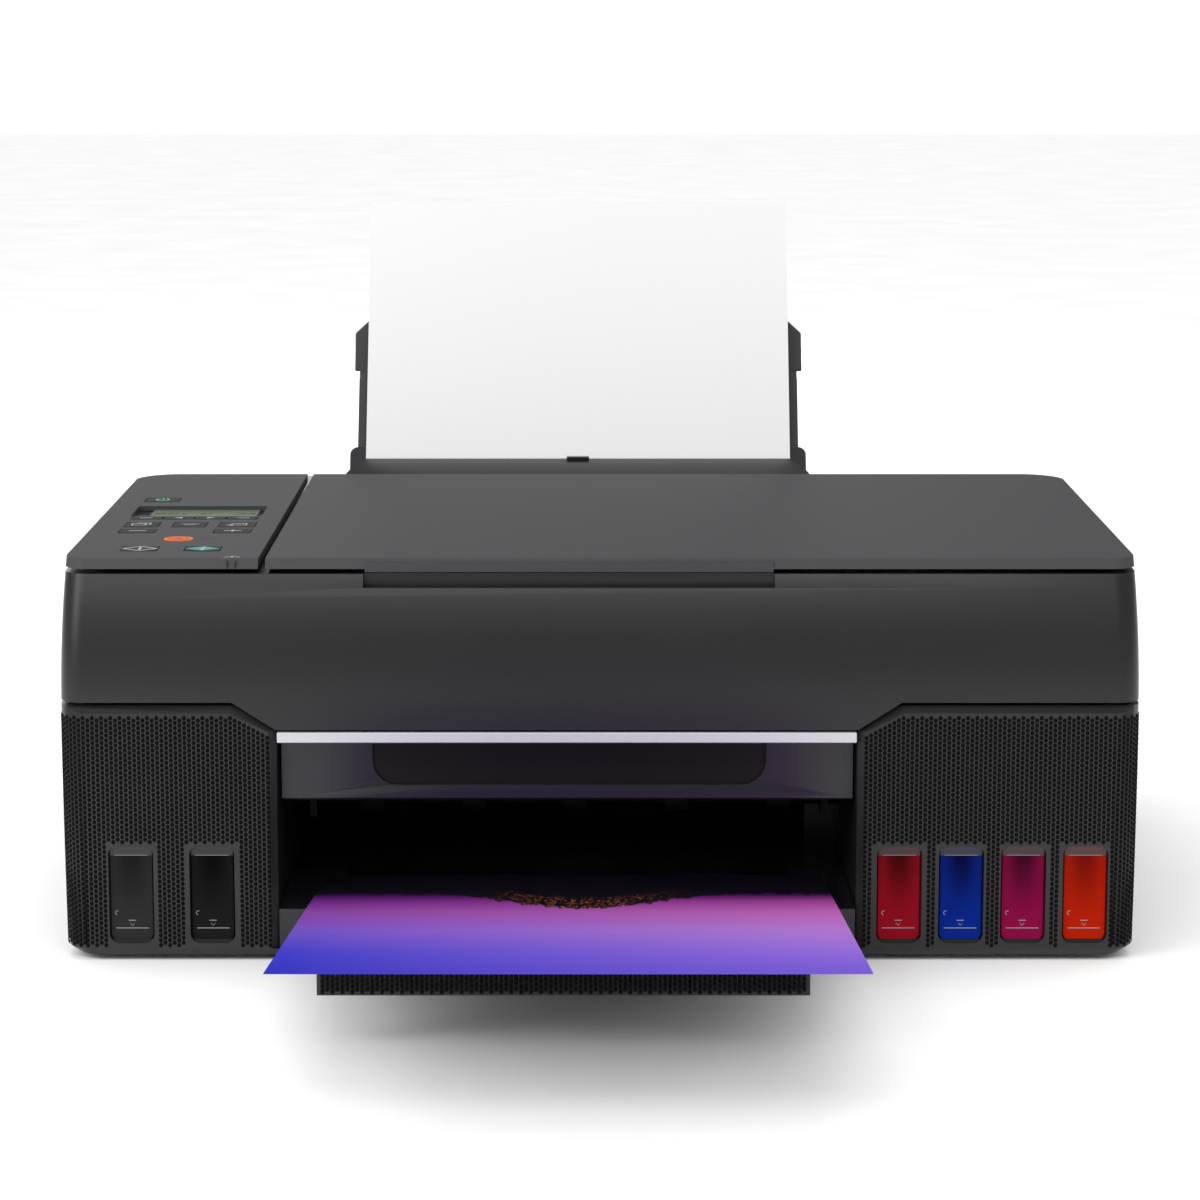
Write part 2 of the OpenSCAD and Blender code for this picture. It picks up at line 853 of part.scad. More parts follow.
module printed_sheet() {
    color([0.35, 0.25, 0.75])
        on_tray()
            translate([paper_x - paper_w / 2, -paper_l, 0])
                cube([paper_w, paper_l, sheet_t]);
}

// ---- Scanner unit ----

module scanner_case() {
    rim = case_top - skin_t;
    color(charcoal)
        difference() {
            union() {
                difference() {
                    intersection() {
                        form(shoulder_z, case_top, 12, 0);
                        through(front_y - 1, case_rear)
                            polygon([[-body_w, seam_z], [bay_left - shoulder_w, seam_z],
                                     [bay_left, shoulder_z], [bay_right, shoulder_z],
                                     [bay_right + shoulder_w, seam_z], [body_w, seam_z],
                                     [body_w, top_z], [-body_w, top_z]]);
                    }
                    intersection() {
                        form(shoulder_z - 1, rim, 8, wall);
                        block([-body_w, front_y, 0], [body_w, case_rear - wall, rim]);
                    }
                }
                block([grip_recess_x - grip_recess_w / 2 - wall, front_at(rim) + 1,
                       case_top - grip_recess_h - wall],
                      [grip_recess_x + grip_recess_w / 2 + wall, front_at(case_top) + 4 + wall, rim]);
            }
            block([glass_x - glass_w / 2, glass_y - glass_d / 2, rim - 1],
                  [glass_x + glass_w / 2, glass_y + glass_d / 2, case_top + 1]);
            block([grip_recess_x - grip_recess_w / 2, front_y, case_top - grip_recess_h],
                  [grip_recess_x + grip_recess_w / 2, front_at(case_top) + 4, case_top + 1]);
            for (side = [-1, 1])
                block([side * scan_hinge_x - arm_w / 2 - slip, scan_hinge_y - 7, 0],
                      [side * scan_hinge_x + arm_w / 2 + slip, case_rear + 1, top_z]);
            for (x = lid_hinge_x)
                block([x - post_w / 2 - slip, lid_hinge_y - 8.5, rim - 1],
                      [x + post_w / 2 + slip, lid_hinge_y + 3.2, case_top + 1]);
            block([-body_w, case_rear - wall - 1, 0], [body_w, case_rear + 1, seam_z]);
            block([paper_x - slot_w / 2, case_rear - wall - 1, 0],
                  [paper_x + slot_w / 2, case_rear + 1, seam_z + 10]);
        }
}

module scanner_tub() {
    floor_z = seam_z + 0.5;
    side_x = half_w(floor_z) - wall - 1.5;
    lip_y = front_y + trim_d;
    grip_y = lip_y + 9.5;
    grip_low = 65;
    t = 2.5;
    notch_w = 164.3;
    color(black)
        difference() {
            union() {
                across(bay_left + bay_gap, bay_right - bay_gap)
                    polygon([[lip_y, trim_z + trim_h + 0.6], [lip_y, trim_z - 0.5],
                             [grip_y, trim_z - 0.5], [grip_y, grip_low + 1],
                             [grip_y + 1, grip_low], [grip_y + 7, grip_low],
                             [grip_y + t + 0.5, grip_low + 6],
                             [grip_y + t + 0.5, floor_z + 1], [grip_y, floor_z + 1],
                             [grip_y, trim_z + trim_h + 0.6]]);
                block([-side_x, grip_y, floor_z], [side_x, case_rear - wall - 1, floor_z + t]);
                block([glass_x - glass_w / 2 + 4, glass_y - 4, floor_z + t - eps],
                      [glass_x + glass_w / 2 - 4, glass_y + 4, floor_z + 5]);
            }
            translate([grip_recess_x - notch_w / 2, 0, 0])
                through(grip_y - 1, grip_y + 1.2)
                    translate([0, grip_low + 6.8])
                        rounded([notch_w, 30], 10);
        }
}

module scanner_hinges() {
    color(steel)
        for (side = [-1, 1]) {
            x = side * scan_hinge_x;
            rod_x(x - 12, x + 12, scan_hinge_y, scan_hinge_z, 2.5);
            for (end = [-1, 1])
                block([x + end * 10 - 2, scan_hinge_y - 4, seam_z + 3],
                      [x + end * 10 + 2, scan_hinge_y + 1.2, case_top - skin_t]);
        }
}

module silver_trim() {
    color([0.72, 0.73, 0.75])
        block([bay_left + bay_gap / 2, front_y, trim_z],
              [bay_right - bay_gap / 2, front_y + trim_d, trim_z + trim_h]);
}

module platen_glass() {
    color([0.6, 0.7, 0.7])
        block([glass_x - glass_w / 2 + 0.3, glass_y - glass_d / 2 + 0.3, case_top - glass_t],
              [glass_x + glass_w / 2 - 0.3, glass_y + glass_d / 2 - 0.3, case_top]);
}

module scan_head() {
    x = glass_x - glass_w / 2 + 6;
    low = seam_z + 6;
    high = case_top - glass_t - 3;
    color(black)
        difference() {
            block([x, glass_y - glass_d / 2 + 4, low], [x + 20, glass_y + glass_d / 2 - 4, high]);
            block([x + 7, glass_y - 106, high - 6], [x + 13, glass_y + 102, high + 1]);
        }
}

// ---- Control panel ----

module key_shape(i, gap) {
    k = keys[i];
    translate([k[0].x - gap, k[0].y - gap])
        rounded([k[1].x + 2 * gap, k[1].y + 2 * gap], key_corner);
}

module panel_key(i) {
    k = keys[i];
    on_panel() {
        translate([0, 0, key_proud - key_t])
            linear_extrude(key_t)
                key_shape(i, 0);
        translate([k[0].x + k[1].x / 2, k[0].y + k[1].y / 2, key_proud - key_t - key_stem_h])
            cylinder(r = key_stem_r, h = key_stem_h + 1);
    }
}

// Plan of the top layer between two sides, with round rear corners on the outer sides
module top_plan(x0, x1, round_left, round_right) {
    y0 = front_y;
    difference() {
        translate([x0, y0])
            square([x1 - x0, lid_rear - y0]);
        if (round_left)
            corner_cut(x0, 1);
        if (round_right)
            corner_cut(x1, -1);
    }
}

// Waste outside a round rear corner
module corner_cut(x, dir) {
    difference() {
        translate([dir > 0 ? x - 1 : x - lid_rear_r, lid_rear - lid_rear_r])
            square([lid_rear_r + 1, lid_rear_r + 1]);
        translate([x + dir * lid_rear_r, lid_rear - lid_rear_r])
            circle(lid_rear_r);
    }
}

// Thin-walled top layer over the given plan
module top_layer(x0, x1, round_left, round_right) {
    low = top_z - lid_h;
    difference() {
        intersection() {
            form(low, top_z, 3, 0);
            translate([0, 0, low - 1])
                linear_extrude(lid_h + 2)
                    top_plan(x0, x1, round_left, round_right);
        }
        intersection() {
            form(low - 1, top_z - skin_t, 2, wall);
            block([x0 + wall, front_y, low - 2],
                  [x1 - wall, lid_rear - 4, top_z - skin_t]);
        }
    }
}

module control_panel() {
    color(charcoal)
        difference() {
            union() {
                top_layer(-half_w(top_z - lid_h), panel_x + panel_w, true, false);
                on_panel()
                    translate([lcd_at.x - 2, lcd_at.y - 1, -lcd_depth - 1.4])
                        cube([lcd_size.x + 4, lcd_size.y + 3, 2.4]);
            }
            on_panel() {
                translate([lcd_at.x, lcd_at.y, -lcd_depth])
                    linear_extrude(lcd_depth + 1)
                        rounded(lcd_size, 1.5);
                for (i = [0:len(keys) - 1])
                    translate([0, 0, -lid_h - 2])
                        linear_extrude(lid_h + 4)
                            key_shape(i, key_gap);
                translate([stop_at.x, stop_at.y, -lid_h - 2])
                    cylinder(r = stop_r + key_gap, h = lid_h + 4);
            }
        }
}

module display() {
    color([0.45, 0.6, 0.25])
        on_panel()
            translate([screen_at.x, screen_at.y, -lcd_depth])
                cube([screen_size.x, screen_size.y, screen_t]);
}

module power_key() { color(black) panel_key(POWER); }
module soft_key_1() { color(black) panel_key(SOFT); }
module soft_key_2() { color(black) panel_key(SOFT + 1); }
module soft_key_3() { color(black) panel_key(SOFT + 2); }
module soft_key_4() { color(black) panel_key(SOFT + 3); }
module home_key() { color(black) panel_key(HOME); }
module direction_pad() { color(black) panel_key(PAD); }
module back_key() { color(black) panel_key(BACK); }
module minus_key() { color(black) panel_key(MINUS); }
module plus_key() { color(black) panel_key(PLUS); }
module mono_key() { color(black) panel_key(MONO); }
module colour_key() { color([0, 0.3, 0.35]) panel_key(COLOUR); }

module stop_key() {
    color([0.8, 0.35, 0.1])
        on_panel()
            translate([stop_at.x, stop_at.y, 0]) {
                translate([0, 0, key_proud - key_t])
                    cylinder(r = stop_r, h = key_t);
                translate([0, 0, key_proud - key_t - key_stem_h])
                    cylinder(r = key_stem_r, h = key_stem_h + 1);
            }
}

// ---- Lid ----

module lid_cover() {
    low = top_z - lid_h;
    lip_y = front_at(top_z) - 2;
    color(charcoal)
        difference() {
            union() {
                top_layer(lid_x0, half_w(low), false, true);
                block([grip_recess_x - grip_recess_w / 2 + 0.5, lip_y, low - 1.2],
                      [grip_recess_x + grip_recess_w / 2 - 0.5, lip_y + 4, top_z - 1.5]);
                for (x = lid_hinge_x, end = [-1, 1])
                    intersection() {
                        rod_x(x + end * 5.4 - 2, x + end * 5.4 + 2, lid_hinge_y, lid_hinge_z, barrel_r);
                        block([x - 9, 0, low - 2], [x + 9, rear_y, top_z]);
                    }
            }
            for (x = lid_hinge_x) {
                block([x - lug_w / 2 - 0.3, lid_hinge_y - 2.6, low - 2],
                      [x + lug_w / 2 + 0.3, lid_hinge_y + 3, lid_hinge_z + barrel_r]);
                for (end = [-1, 1])
                    block([x + end * 5.4 - 2 + (end > 0 ? 4 : -2), lid_hinge_y - 3, low - 2],
                          [x + end * 5.4 + 2 + (end > 0 ? 2 : -4), lid_hinge_y + 3, lid_hinge_z]);
                rod_x(x - 7.6, x + 7.6, lid_hinge_y, lid_hinge_z, 1.2 + run);
            }
        }
}

module lid_pad() {
    color(white)
        block([glass_x - glass_w / 2 + 6, glass_y - glass_d / 2 + 5, case_top + 0.3],
              [glass_x + glass_w / 2 - 6, glass_y + glass_d / 2 - 5, top_z - skin_t]);
}

module lid_hinges() {
    post_top = case_top - 0.4;
    color(black)
        for (x = lid_hinge_x) {
            block([x - post_w / 2, lid_hinge_y - 8, seam_z + 18],
                  [x + post_w / 2, lid_hinge_y + 2.6, post_top]);
            block([x - lug_w / 2, lid_hinge_y - 2, post_top - eps],
                  [x + lug_w / 2, lid_hinge_y + 2, lid_hinge_z]);
            rod_x(x - lug_w / 2, x + lug_w / 2, lid_hinge_y, lid_hinge_z, 2);
            rod_x(x - 7, x + 7, lid_hinge_y, lid_hinge_z, 1.2);
        }
}

base_pan();
left_tank_housing();
right_tank_housing();
rear_housing();
rubber_feet();
case_screws();
mainboard();
power_supply();
print_frame();
guide_rail();
motors();
purge_unit();
ink_tank_grey();
ink_tank_black();
ink_tank_red();
ink_tank_blue();
ink_tank_magenta();
ink_tank_orange();
tank_caps();
tank_covers();
carriage();
print_heads();
carriage_belt();
drive_pulley();
idler_pulley();
feed_roller();
exit_roller();
hopper_plate();
paper_guide_left();
paper_guide_right();
loaded_paper();
paper_support();
support_extension();
feed_cover();
output_tray();
printed_sheet();
scanner_case();
scanner_tub();
scanner_hinges();
silver_trim();
platen_glass();
scan_head();
control_panel();
display();
lid_cover();
lid_pad();
lid_hinges();
power_key();
soft_key_1();
soft_key_2();
soft_key_3();
soft_key_4();
home_key();
direction_pad();
back_key();
minus_key();
plus_key();
stop_key();
mono_key();
colour_key();
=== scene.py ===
import json
import math

import bmesh
import bpy
from mathutils import Matrix, Vector


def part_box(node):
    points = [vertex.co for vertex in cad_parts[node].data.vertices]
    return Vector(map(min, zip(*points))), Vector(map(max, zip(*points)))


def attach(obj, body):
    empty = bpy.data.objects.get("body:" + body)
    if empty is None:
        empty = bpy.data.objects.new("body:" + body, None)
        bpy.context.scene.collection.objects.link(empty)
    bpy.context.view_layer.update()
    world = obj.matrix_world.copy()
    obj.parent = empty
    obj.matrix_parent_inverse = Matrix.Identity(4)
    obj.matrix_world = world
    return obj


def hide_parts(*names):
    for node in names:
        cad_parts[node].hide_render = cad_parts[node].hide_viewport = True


bl_info = {
    "name": "Inkjet Printer",
    "version": (1, 0, 0),
    "blender": (4, 5, 0),
    "location": "View3D > Sidebar > Printer",
    "description": "Builds an ink-tank printer with its finishes round the packed frame",
    "category": "Add Mesh",
}

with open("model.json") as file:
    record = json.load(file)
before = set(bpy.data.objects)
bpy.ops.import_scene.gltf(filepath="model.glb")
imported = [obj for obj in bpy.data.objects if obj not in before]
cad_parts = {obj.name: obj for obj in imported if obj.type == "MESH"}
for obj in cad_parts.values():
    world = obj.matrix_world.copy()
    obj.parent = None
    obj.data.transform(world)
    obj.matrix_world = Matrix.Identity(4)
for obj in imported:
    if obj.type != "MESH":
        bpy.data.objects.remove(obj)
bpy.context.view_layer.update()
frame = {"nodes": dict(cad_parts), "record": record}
RECORD = frame["record"]
BODY_OF = {node: body for body, nodes in RECORD["behaviour"]["bodies"].items() for node in nodes}
SLOT_OF = {part["node"]: part["material_slot"] for part in RECORD["subparts"]}
MM = 0.001


# ---------------------------------------------------------------- settings

def colour(name, text, default):
    return bpy.props.FloatVectorProperty(
        name=name, description=text, subtype="COLOR", size=3, min=0.0, max=1.0, default=default)


def length(name, text, default):
    return bpy.props.FloatProperty(
        name=name, description=text, unit="LENGTH", min=0.0, default=default, precision=5)


class PrinterColours(bpy.types.PropertyGroup):
    """Colours of the printer's finishes."""
    case: colour("Case", "Satin plastic of the case and columns", (0.013, 0.013, 0.0133))
    lid: colour("Lid", "Fine-grained plastic of the lid and control panel", (0.014, 0.014, 0.0143))
    weave: colour("Weave", "Embossed plastic of the tank columns and tray", (0.0028, 0.0028, 0.0029))
    black: colour("Black", "Smooth black plastic in the bay", (0.0035, 0.0035, 0.0036))
    support: colour("Support", "Grey plastic of the paper support", (0.036, 0.036, 0.037))
    silver: colour("Silver", "Paint of the trim bar", (0.52, 0.52, 0.53))
    steel: colour("Steel", "Plain steel of the mechanism", (0.45, 0.46, 0.48))
    rubber: colour("Rubber", "Feet, rollers and belt", (0.014, 0.014, 0.014))
    paper: colour("Paper", "Plain sheets", (0.66, 0.66, 0.66))
    mark: colour("Marks", "Printed symbols on the keys", (0.36, 0.37, 0.37))
    stop: colour("Stop key", "Orange key", (0.62, 0.115, 0.012))
    teal: colour("Colour key", "Teal key symbol", (0.0, 0.22, 0.21))
    screen: colour("Display", "Green display glass", (0.10, 0.14, 0.085))


class PrinterSizes(bpy.types.PropertyGroup):
    """Sizes of the details that are added round the frame."""
    edge: length("Case edge", "Edge radius of the large mouldings", 0.0009)
    small_edge: length("Small edge", "Edge radius of the small pieces", 0.0003)
    cell_pitch: length("Cell pitch", "Distance between the columns' embossed ribs", 0.0019)
    cell_step: length("Cell step", "Distance between cells along a rib", 0.0021)
    cell_rise: length("Cell rise", "Height of an embossed cell", 0.00028)
    weave_margin: length("Weave margin", "Plain border round the embossed face", 0.0012)
    mark_rise: length("Mark rise", "Thickness of a printed symbol", 0.00006)
    slot_pitch: length("Vent pitch", "Distance between the rear vents", 0.0045)


# each tank's two ink colours: the first for the painted light low down and at the sides, the second for the
# painted shade at the top middle
INKS = {
    "ink_tank_grey": ((0.022, 0.022, 0.023), (0.008, 0.008, 0.009)),
    "ink_tank_black": ((0.009, 0.009, 0.009), (0.001, 0.001, 0.001)),
    "ink_tank_red": ((0.23, 0.003, 0.010), (0.040, 0.0003, 0.001)),
    "ink_tank_blue": ((0.001, 0.016, 0.20), (0.0004, 0.001, 0.032)),
    "ink_tank_magenta": ((0.20, 0.002, 0.044), (0.035, 0.0004, 0.010)),
    "ink_tank_orange": ((0.36, 0.010, 0.0006), (0.13, 0.003, 0.0003)),
}


def colours():
    return bpy.context.scene.printer_colours


def sizes():
    return bpy.context.scene.printer_sizes


# ---------------------------------------------------------------- shader groups

class Group:
    """A shader node group under construction, with short ways to add and link nodes."""

    def __init__(self, name, inputs, outputs):
        self.tree = bpy.data.node_groups.new(name, "ShaderNodeTree")
        for label, kind, default in inputs:
            socket = self.tree.interface.new_socket(label, in_out="INPUT", socket_type=kind)
            socket.default_value = default
        for label, kind in outputs:
            self.tree.interface.new_socket(label, in_out="OUTPUT", socket_type=kind)
        self.input = self.tree.nodes.new("NodeGroupInput")
        self.output = self.tree.nodes.new("NodeGroupOutput")

    def add(self, kind, **values):
        return add_node(self.tree, kind, **values)


def wire(tree, *pairs):
    """Links sockets: each row names a node, its output, the next node and its input."""
    for source, output, target, entry in pairs:
        tree.links.new(source.outputs[output], target.inputs[entry])


def add_node(tree, kind, **values):
    """A node whose attributes are set by name, and input sockets by in_ and their name or place."""
    node = tree.nodes.new(kind)
    for key, value in values.items():
        if key.startswith("in_"):
            entry = key[3:].replace("_", " ")
            node.inputs[int(entry) if entry.isdigit() else entry].default_value = value
        else:
            setattr(node, key, value)
    return node


def moulded_grain():
    """Fine moulded grain: a tone that drifts a little, a roughness and a normal."""
    g = Group("Moulded Grain",
              [("Tone", "NodeSocketColor", (0.02, 0.02, 0.02, 1)), ("Grain Scale", "NodeSocketFloat", 1400.0),
               ("Depth", "NodeSocketFloat", 0.2), ("Roughness", "NodeSocketFloat", 0.4),
               ("Drift", "NodeSocketFloat", 0.12)],
              [("Color", "NodeSocketColor"), ("Roughness", "NodeSocketFloat"),
               ("Normal", "NodeSocketVector")])
    place = g.add("ShaderNodeTexCoord")
    grain = g.add("ShaderNodeTexNoise", in_Detail=3.0, in_Roughness=0.6)
    cloud = g.add("ShaderNodeTexNoise", in_Scale=9.0, in_Detail=2.0)
    bump = g.add("ShaderNodeBump", in_Distance=0.0002)
    spread = g.add("ShaderNodeMapRange", in_To_Min=-0.5, in_To_Max=0.5)
    lift = g.add("ShaderNodeMath", operation="MULTIPLY_ADD", in_2=1.0)
    tint = g.add("ShaderNodeVectorMath", operation="SCALE")
    rough = g.add("ShaderNodeMath", operation="MULTIPLY_ADD", in_1=0.10)
    wire(g.tree, (place, "Object", grain, "Vector"), (place, "Object", cloud, "Vector"),
         (g.input, "Grain Scale", grain, "Scale"), (grain, "Fac", bump, "Height"),
         (g.input, "Depth", bump, "Strength"), (cloud, "Fac", spread, "Value"),
         (spread, "Result", lift, 0), (g.input, "Drift", lift, 1), (g.input, "Tone", tint, 0),
         (lift, 0, tint, "Scale"), (spread, "Result", rough, 0), (g.input, "Roughness", rough, 2),
         (tint, 0, g.output, "Color"), (rough, 0, g.output, "Roughness"),
         (bump, "Normal", g.output, "Normal"))
    return g.tree


def edge_wear():
    """Lightens a colour a little where edges are rubbed."""
    g = Group("Edge Wear",
              [("Color", "NodeSocketColor", (0.02, 0.02, 0.02, 1)),
               ("Worn", "NodeSocketColor", (0.1, 0.1, 0.1, 1)),
               ("Amount", "NodeSocketFloat", 0.35)],
              [("Color", "NodeSocketColor")])
    shape = g.add("ShaderNodeNewGeometry")
    place = g.add("ShaderNodeTexCoord")
    sharp = g.add("ShaderNodeMapRange", in_From_Min=0.53, in_From_Max=0.62)
    patch = g.add("ShaderNodeTexNoise", in_Scale=60.0, in_Detail=3.0)
    both = g.add("ShaderNodeMath", operation="MULTIPLY")
    part = g.add("ShaderNodeMath", operation="MULTIPLY")
    mix = g.add("ShaderNodeMix", data_type="RGBA")
    wire(g.tree, (shape, "Pointiness", sharp, "Value"), (place, "Object", patch, "Vector"),
         (sharp, "Result", both, 0), (patch, "Fac", both, 1), (both, 0, part, 0),
         (g.input, "Amount", part, 1), (part, 0, mix, 0), (g.input, "Color", mix, 6),
         (g.input, "Worn", mix, 7), (mix, 2, g.output, "Color"))
    return g.tree


def settled_dust():
    """Adds a thin film of dust to faces that look up."""
    g = Group("Settled Dust",
              [("Color", "NodeSocketColor", (0.02, 0.02, 0.02, 1)), ("Amount", "NodeSocketFloat", 0.03)],
              [("Color", "NodeSocketColor")])
    place = g.add("ShaderNodeTexCoord")
    axes = g.add("ShaderNodeSeparateXYZ")
    up = g.add("ShaderNodeMapRange", in_From_Min=0.6)
    specks = g.add("ShaderNodeTexNoise", in_Scale=900.0, in_Detail=4.0, in_Roughness=0.7)
    few = g.add("ShaderNodeMapRange", in_From_Min=0.45, in_From_Max=0.75)
    both = g.add("ShaderNodeMath", operation="MULTIPLY")
    part = g.add("ShaderNodeMath", operation="MULTIPLY")
    mix = g.add("ShaderNodeMix", data_type="RGBA", in_7=(0.3, 0.3, 0.29, 1))
    wire(g.tree, (place, "Normal", axes, 0), (axes, "Z", up, "Value"), (place, "Object", specks, "Vector"),
         (specks, "Fac", few, "Value"), (up, "Result", both, 0), (few, "Result", both, 1),
         (both, 0, part, 0), (g.input, "Amount", part, 1), (part, 0, mix, 0), (g.input, "Color", mix, 6),
         (mix, 2, g.output, "Color"))
    return g.tree


GROUP_MAKERS = {"Moulded Grain": moulded_grain, "Edge Wear": edge_wear, "Settled Dust": settled_dust}


def place_group(tree, name):
    """Puts a shared node group into a material, building it the first time."""
    node = tree.nodes.new("ShaderNodeGroup")
    node.node_tree = bpy.data.node_groups.get(name) or GROUP_MAKERS[name]()
    return node


# ---------------------------------------------------------------- materials

def new_material(name):
    material = bpy.data.materials.new(name)
    material.use_nodes = True
    return material, material.node_tree, material.node_tree.nodes["Principled BSDF"]


def opaque(rgb):
    return (rgb[0], rgb[1], rgb[2], 1.0)


def plastic(name, rgb, rough, grain=1400.0, depth=0.2, wear=0.3, dust=0.02, metallic=0.0, gloss=0.3):
    """Moulded or painted surface with grain, rubbed edges and a little dust."""
    found = bpy.data.materials.get(name)
    if found:
        return found
    material, tree, shader = new_material(name)
    base = place_group(tree, "Moulded Grain")
    base.inputs["Tone"].default_value = opaque(rgb)
    base.inputs["Grain Scale"].default_value = grain
    base.inputs["Depth"].default_value = depth
    base.inputs["Roughness"].default_value = rough
    worn = place_group(tree, "Edge Wear")
    worn.inputs["Worn"].default_value = opaque([min(1.0, 2.2 * c + 0.02) for c in rgb])
    worn.inputs["Amount"].default_value = wear
    dusty = place_group(tree, "Settled Dust")
    dusty.inputs["Amount"].default_value = dust
    wire(tree, (base, "Color", worn, "Color"), (worn, "Color", dusty, "Color"),
         (dusty, "Color", shader, "Base Color"), (base, "Roughness", shader, "Roughness"),
         (base, "Normal", shader, "Normal"))
    shader.inputs["Metallic"].default_value = metallic
    shader.inputs["Specular IOR Level"].default_value = gloss
    return material


def case_plastic():
    return plastic("case_plastic", colours().case, 0.34, grain=2200.0, depth=0.10, gloss=0.4)


def lid_plastic():
    return plastic("lid_plastic", colours().lid, 0.34, grain=1500.0, depth=0.26, dust=0.02)


def weave_plastic():
    return plastic("weave_plastic", colours().weave, 0.65, grain=900.0, depth=0.5, wear=0.15, gloss=0.04)


def black_plastic():
    return plastic("black_plastic", colours().black, 0.7, grain=900.0, depth=0.12, wear=0.1, gloss=0.06)


def support_plastic():
    return plastic("support_plastic", colours().support, 0.5, grain=1500.0, depth=0.3)


def silver_paint():
    return plastic("silver_paint", colours().silver, 0.30, grain=3000.0, depth=0.05, wear=0.0, dust=0.0,
                   metallic=0.75)


def steel():
    return plastic("steel", colours().steel, 0.35, grain=600.0, depth=0.1, wear=0.1, metallic=1.0)


def dark_steel():
    return plastic("dark_steel", (0.03, 0.03, 0.032), 0.5, grain=600.0, depth=0.1, wear=0.1, metallic=0.5)


def rubber():
    return plastic("rubber", colours().rubber, 0.8, grain=700.0, depth=0.4, wear=0.1)


def board_green():
    return plastic("board_green", (0.01, 0.09, 0.03), 0.35, grain=800.0, depth=0.3, gloss=0.5)


def foam_white():
    return plastic("foam_white", (0.8, 0.8, 0.78), 0.75, grain=500.0, depth=0.4, wear=0.0)


def key_plastic():
    return plastic("key_plastic", colours().lid, 0.6, grain=1500.0, depth=0.1, wear=0.0, dust=0.0,
                   gloss=0.12)


def stop_plastic():
    return plastic("stop_plastic", colours().stop, 0.6, grain=1500.0, depth=0.1, wear=0.0, dust=0.0,
                   gloss=0.12)


def printed_ink(name, rgb, rough=0.5):
    return plastic(name, rgb, rough, grain=900.0, depth=0.1, wear=0.0, dust=0.0)


def mark_ink():
    return printed_ink("mark_ink", colours().mark, 0.55)


def teal_ink():
    return printed_ink("teal_ink", colours().teal)


def green_ink():
    return printed_ink("green_ink", (0.16, 0.5, 0.3))


def dark_ink():
    return printed_ink("dark_ink", (0.004, 0.004, 0.004))


def clear_glass():
    found = bpy.data.materials.get("clear_glass")
    if found:
        return found
    material, tree, shader = new_material("clear_glass")
    smudge = place_group(tree, "Moulded Grain")
    smudge.inputs["Tone"].default_value = (0.8, 0.86, 0.84, 1)
    smudge.inputs["Grain Scale"].default_value = 40.0
    smudge.inputs["Depth"].default_value = 0.01
    smudge.inputs["Roughness"].default_value = 0.06
    wire(tree, (smudge, "Color", shader, "Base Color"), (smudge, "Roughness", shader, "Roughness"))
    shader.inputs["Transmission Weight"].default_value = 0.85
    shader.inputs["IOR"].default_value = 1.5
    return material


def paper_fibre():
    """Plain paper: near white, with a faint fibre."""
    found = bpy.data.materials.get("paper_fibre")
    if found:
        return found
    material, tree, shader = new_material("paper_fibre")
    base = place_group(tree, "Moulded Grain")
    base.inputs["Tone"].default_value = opaque(colours().paper)
    base.inputs["Grain Scale"].default_value = 650.0
    base.inputs["Depth"].default_value = 0.12
    base.inputs["Roughness"].default_value = 0.75
    base.inputs["Drift"].default_value = 0.02
    for label, socket in (("Color", "Base Color"), ("Roughness", "Roughness"), ("Normal", "Normal")):
        wire(tree, (base, label, shader, socket))
    shader.inputs["Specular IOR Level"].default_value = 0.3
    return material


def display_glass():
    """Green display window, darker towards its far end."""
    low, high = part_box("display")
    material, tree, shader = new_material("display_glass")
    place = add_node(tree, "ShaderNodeTexCoord")
    axes = add_node(tree, "ShaderNodeSeparateXYZ")
    ramp = add_node(tree, "ShaderNodeMapRange", in_From_Min=low[1], in_From_Max=high[1])
    mix = add_node(tree, "ShaderNodeMix", data_type="RGBA", in_6=opaque(colours().screen),
                   in_7=opaque([0.7 * c for c in colours().screen]))
    wire(tree, (place, "Object", axes, 0), (axes, "Y", ramp, "Value"), (ramp, "Result", mix, 0),
         (mix, 2, shader, "Base Color"))
    shader.inputs["Roughness"].default_value = 0.5
    shader.inputs["Specular IOR Level"].default_value = 0.05
    return material


def ink_plastic(node):
    """Tinted clear plastic over ink, with painted shade darkening the top middle and painted light
    brightening it low down and at the sides.
    """
    low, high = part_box(node)
    painted_lit_ink, painted_shaded_ink = INKS[node]
    material, tree, shader = new_material(node.replace("ink_tank", "ink"))
    centre = (low[0] + high[0]) / 2
    place = add_node(tree, "ShaderNodeTexCoord")
    axes = add_node(tree, "ShaderNodeSeparateXYZ")
    rise = add_node(tree, "ShaderNodeMapRange", interpolation_type="SMOOTHSTEP", in_From_Min=0.012,
                    in_From_Max=0.046)
    across = add_node(tree, "ShaderNodeMath", operation="SUBTRACT", in_1=centre)
    away = add_node(tree, "ShaderNodeMath", operation="ABSOLUTE")
    side = add_node(tree, "ShaderNodeMapRange", interpolation_type="SMOOTHSTEP", in_From_Min=0.001,
                    in_From_Max=0.009, in_To_Min=1.0, in_To_Max=0.35)
    shade = add_node(tree, "ShaderNodeMath", operation="MULTIPLY")
    # painted light and shade: the lit ink colour low down and at the sides, the shaded one towards the top
    # middle
    mix = add_node(tree, "ShaderNodeMix", data_type="RGBA", in_6=opaque(painted_lit_ink), in_7=opaque(painted_shaded_ink))
    wire(tree, (place, "Object", axes, 0), (axes, "Z", rise, "Value"), (axes, "X", across, 0),
         (across, 0, away, 0), (away, 0, side, "Value"), (rise, "Result", shade, 0),
         (side, "Result", shade, 1), (shade, 0, mix, 0), (mix, 2, shader, "Base Color"))
    shader.inputs["Roughness"].default_value = 0.35
    shader.inputs["Specular IOR Level"].default_value = 0.03
    return material


